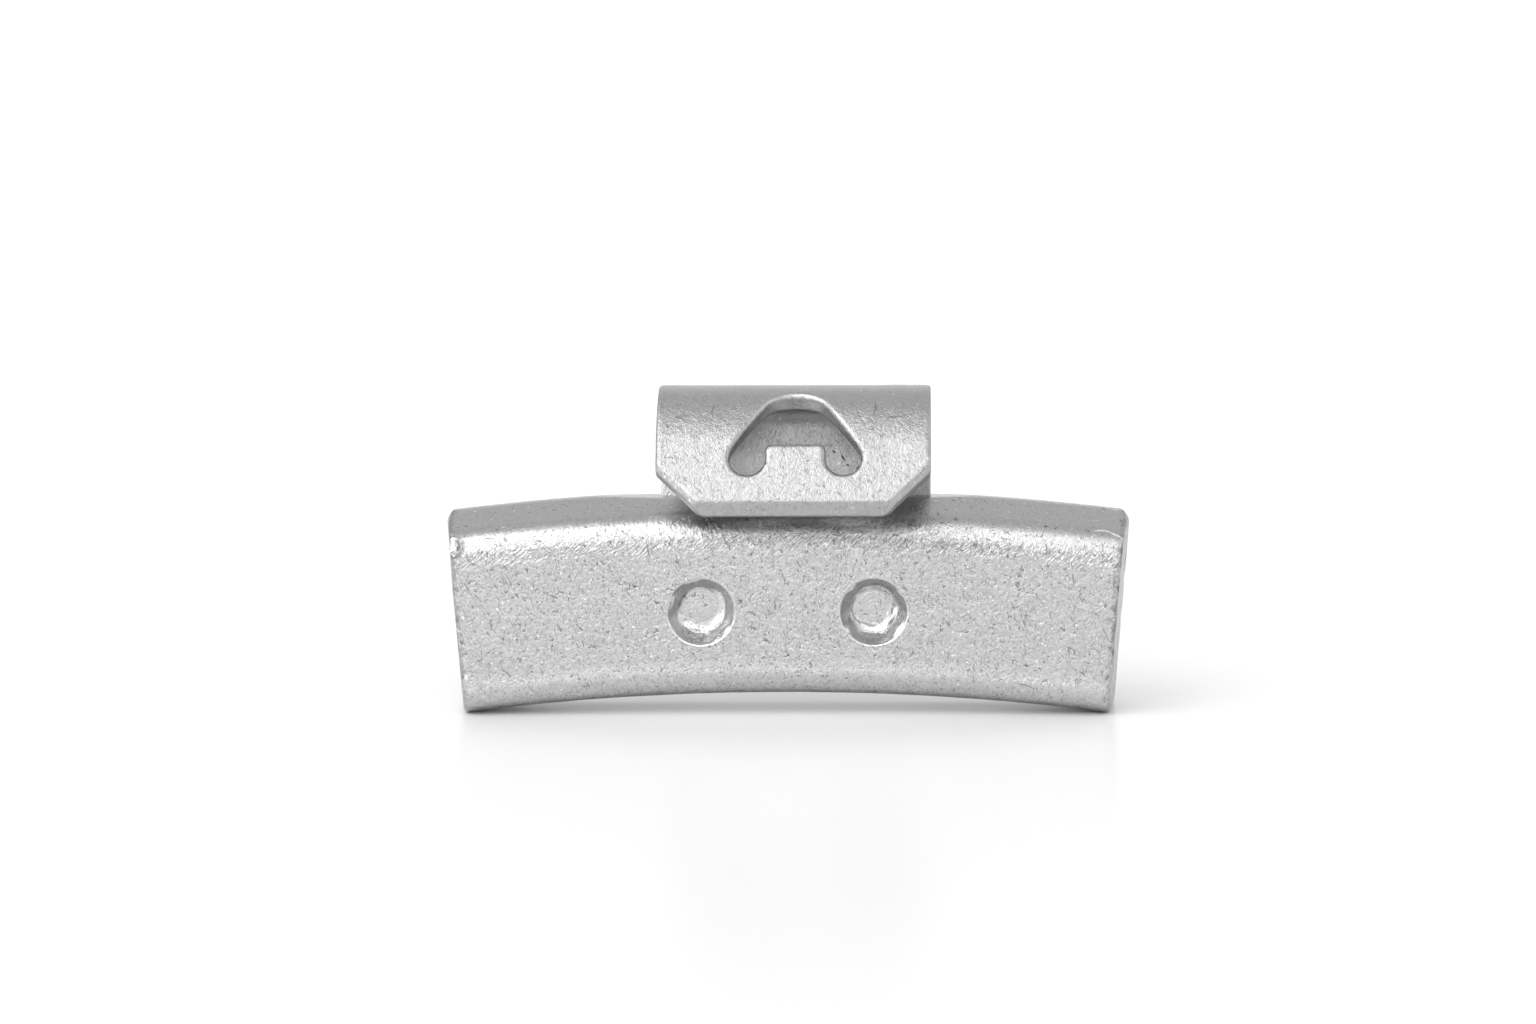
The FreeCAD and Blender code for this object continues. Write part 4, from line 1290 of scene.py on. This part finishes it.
    def tinted(self, tint: tuple[float, float, float], shade: bpy.types.NodeSocket) -> bpy.types.NodeSocket:
        """A colour times a varying shade.

        Args:
            tint: the colour.
            shade: the factor.

        Returns:
            The product.
        """
        node = self.add("ShaderNodeMix")
        node.data_type = "RGBA"
        node.blend_type = "MULTIPLY"
        node.inputs["Factor"].default_value = 1.0
        node.inputs[6].default_value = (*tint, 1.0)
        combine = self.add("ShaderNodeCombineColor")
        for channel in combine.inputs:
            self.link(shade, channel)
        self.link(combine.outputs["Color"], node.inputs[7])
        return node.outputs[2]


# Studio

@dataclass(frozen=True)
class LightBank:
    """A soft bank of light in the room, seen from the weight as a disc with a faded edge."""

    azimuth: float
    elevation: float
    inner: float
    outer: float
    power: float

    def glow(self, bench: NodeBench, way: bpy.types.NodeSocket) -> bpy.types.NodeSocket:
        """Its brightness along a direction.

        Args:
            bench: the world's node tree.
            way: output that gives the direction.

        Returns:
            Output that is the bank's power inside its inner angle and 0 outside its outer angle.
        """
        e, a = math.radians(self.elevation), math.radians(self.azimuth)
        dot = bench.add("ShaderNodeVectorMath")
        dot.operation = "DOT_PRODUCT"
        bench.link(way, dot.inputs[0])
        dot.inputs[1].default_value = (math.sin(a) * math.cos(e), -math.cos(a) * math.cos(e), math.sin(e))
        fade = bench.add("ShaderNodeMapRange")
        fade.interpolation_type = "SMOOTHSTEP"
        bench.link(dot.outputs["Value"], fade.inputs["Value"])
        fade.inputs["From Min"].default_value = math.cos(math.radians(self.outer))
        fade.inputs["From Max"].default_value = math.cos(math.radians(self.inner))
        fade.inputs["To Max"].default_value = self.power
        return fade.outputs["Result"]


@dataclass
class Studio:
    """Pale floor, soft light from above, the front and the left, and the camera at the photograph's angle."""

    elevation: float = 10.0
    yaw: float = 1.6
    roll: float = -0.3
    focal_px: float = 4680.0
    distance: float = 344.0
    target: tuple[float, float, float] = (0.0, -1.25, 8.0)
    offset_px: tuple[float, float] = (17.2, 98.5)
    room: float = 0.78
    floor_half: float = 3.0
    floor_grey: float = 0.673
    banks: tuple[LightBank, ...] = (LightBank(-20, 31, 32, 55, 1.42), LightBank(-48, 47, 13, 29, 1.9),
                                    LightBank(-80, 18, 25, 60, 0.75), LightBank(180, 4, 12, 45, 0.35),
                                    LightBank(85, 12, 20, 50, 0.8), LightBank(152, 6, 8, 24, -0.4),
                                    LightBank(-140, 6, 12, 30, -0.45))

    def aim(self) -> None:
        """Places the camera: looking down a little, the weight's right end slightly nearer."""
        e, a = math.radians(self.elevation), math.radians(self.yaw)
        back = Vector((math.sin(a) * math.cos(e), -math.cos(a) * math.cos(e), math.sin(e)))
        right = Vector((math.cos(a), math.sin(a), 0.0))
        up = back.cross(right)
        turn = Matrix((right, up, back)).transposed() @ Matrix.Rotation(math.radians(self.roll), 3, "Z")
        data = bpy.data.cameras.new("photo_camera")
        data.sensor_width = 36.0
        data.lens = self.focal_px / PHOTO_WIDTH * 36.0
        data.shift_x = -self.offset_px[0] / PHOTO_WIDTH
        data.shift_y = self.offset_px[1] / PHOTO_WIDTH
        data.clip_start = 0.01
        camera = bpy.data.objects.new("photo_camera", data)
        spot = (Vector(self.target) + back * self.distance) * MM
        camera.matrix_world = Matrix.Translation(spot) @ turn.to_4x4()
        bpy.context.scene.collection.objects.link(camera)
        bpy.context.scene.camera = camera

    def lay_floor(self) -> None:
        """A wide white floor with a faint gloss."""
        size = self.floor_half
        mesh = bpy.data.meshes.new("studio_floor")
        mesh.from_pydata([(-size, -size, 0), (size, -size, 0), (size, size, 0), (-size, size, 0)], [],
                         [(0, 1, 2, 3)])
        floor = bpy.data.objects.new("studio_floor", mesh)
        bpy.context.scene.collection.objects.link(floor)
        material = bpy.data.materials.new("white_acrylic")
        material.use_nodes = True
        shader = material.node_tree.nodes["Principled BSDF"]
        shader.inputs["Base Color"].default_value = (self.floor_grey, self.floor_grey, self.floor_grey, 1.0)
        shader.inputs["Roughness"].default_value = 0.28
        shader.inputs["Specular IOR Level"].default_value = 0.3
        mesh.materials.append(material)

    def fill_room(self) -> None:
        """Soft light from all round: an even room, and the banks that add their glow to it."""
        world = bpy.data.worlds.new("studio_room")
        world.use_nodes = True
        bench = NodeBench(world.node_tree)
        way = bench.add("ShaderNodeTexCoord").outputs["Generated"]
        total = self.room
        for bank in self.banks:
            total = bench.plus(total, bank.glow(bench, way))
        bench.link(total, world.node_tree.nodes["Background"].inputs["Strength"])
        world.node_tree.nodes["Background"].inputs["Color"].default_value = (1.0, 1.0, 1.0, 1.0)
        bpy.context.scene.world = world

    def build(self) -> None:
        """Sets up floor, lights and camera."""
        self.aim()
        self.lay_floor()
        self.fill_room()
        bpy.context.scene.view_settings.view_transform = "Standard"


def main() -> None:
    """Builds the casting, the clip and the studio, in this order."""
    logging.basicConfig(level=logging.INFO, format="%(name)s: %(message)s")
    weight, hook = CastWeight(), SpringClip()
    cast_coat = SilverCoat("coat_on_casting", tint=(0.435, 0.435, 0.437), roughness=0.25, crinkle=3.2,
                           coarseness=1.0, stain=0.31)
    clip_coat = SilverCoat("coat_on_clip", tint=(0.455, 0.455, 0.457), roughness=0.3, crinkle=2.2,
                           coarseness=1.2, stain=0.15)
    cast = weight.build()
    cast.data.materials.append(cast_coat.make(weight.strokes()))
    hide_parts("weight_body")
    clip = hook.build()
    clip.data.materials.append(clip_coat.make(hook.strokes()))
    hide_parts("spring_clip")
    for piece in (cast, clip):
        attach(piece, "root")
        log.info("%s: %d faces", piece.name, len(piece.data.polygons))
    Studio().build()
    bpy.context.view_layer.update()


if __name__ == "__main__":
    main()
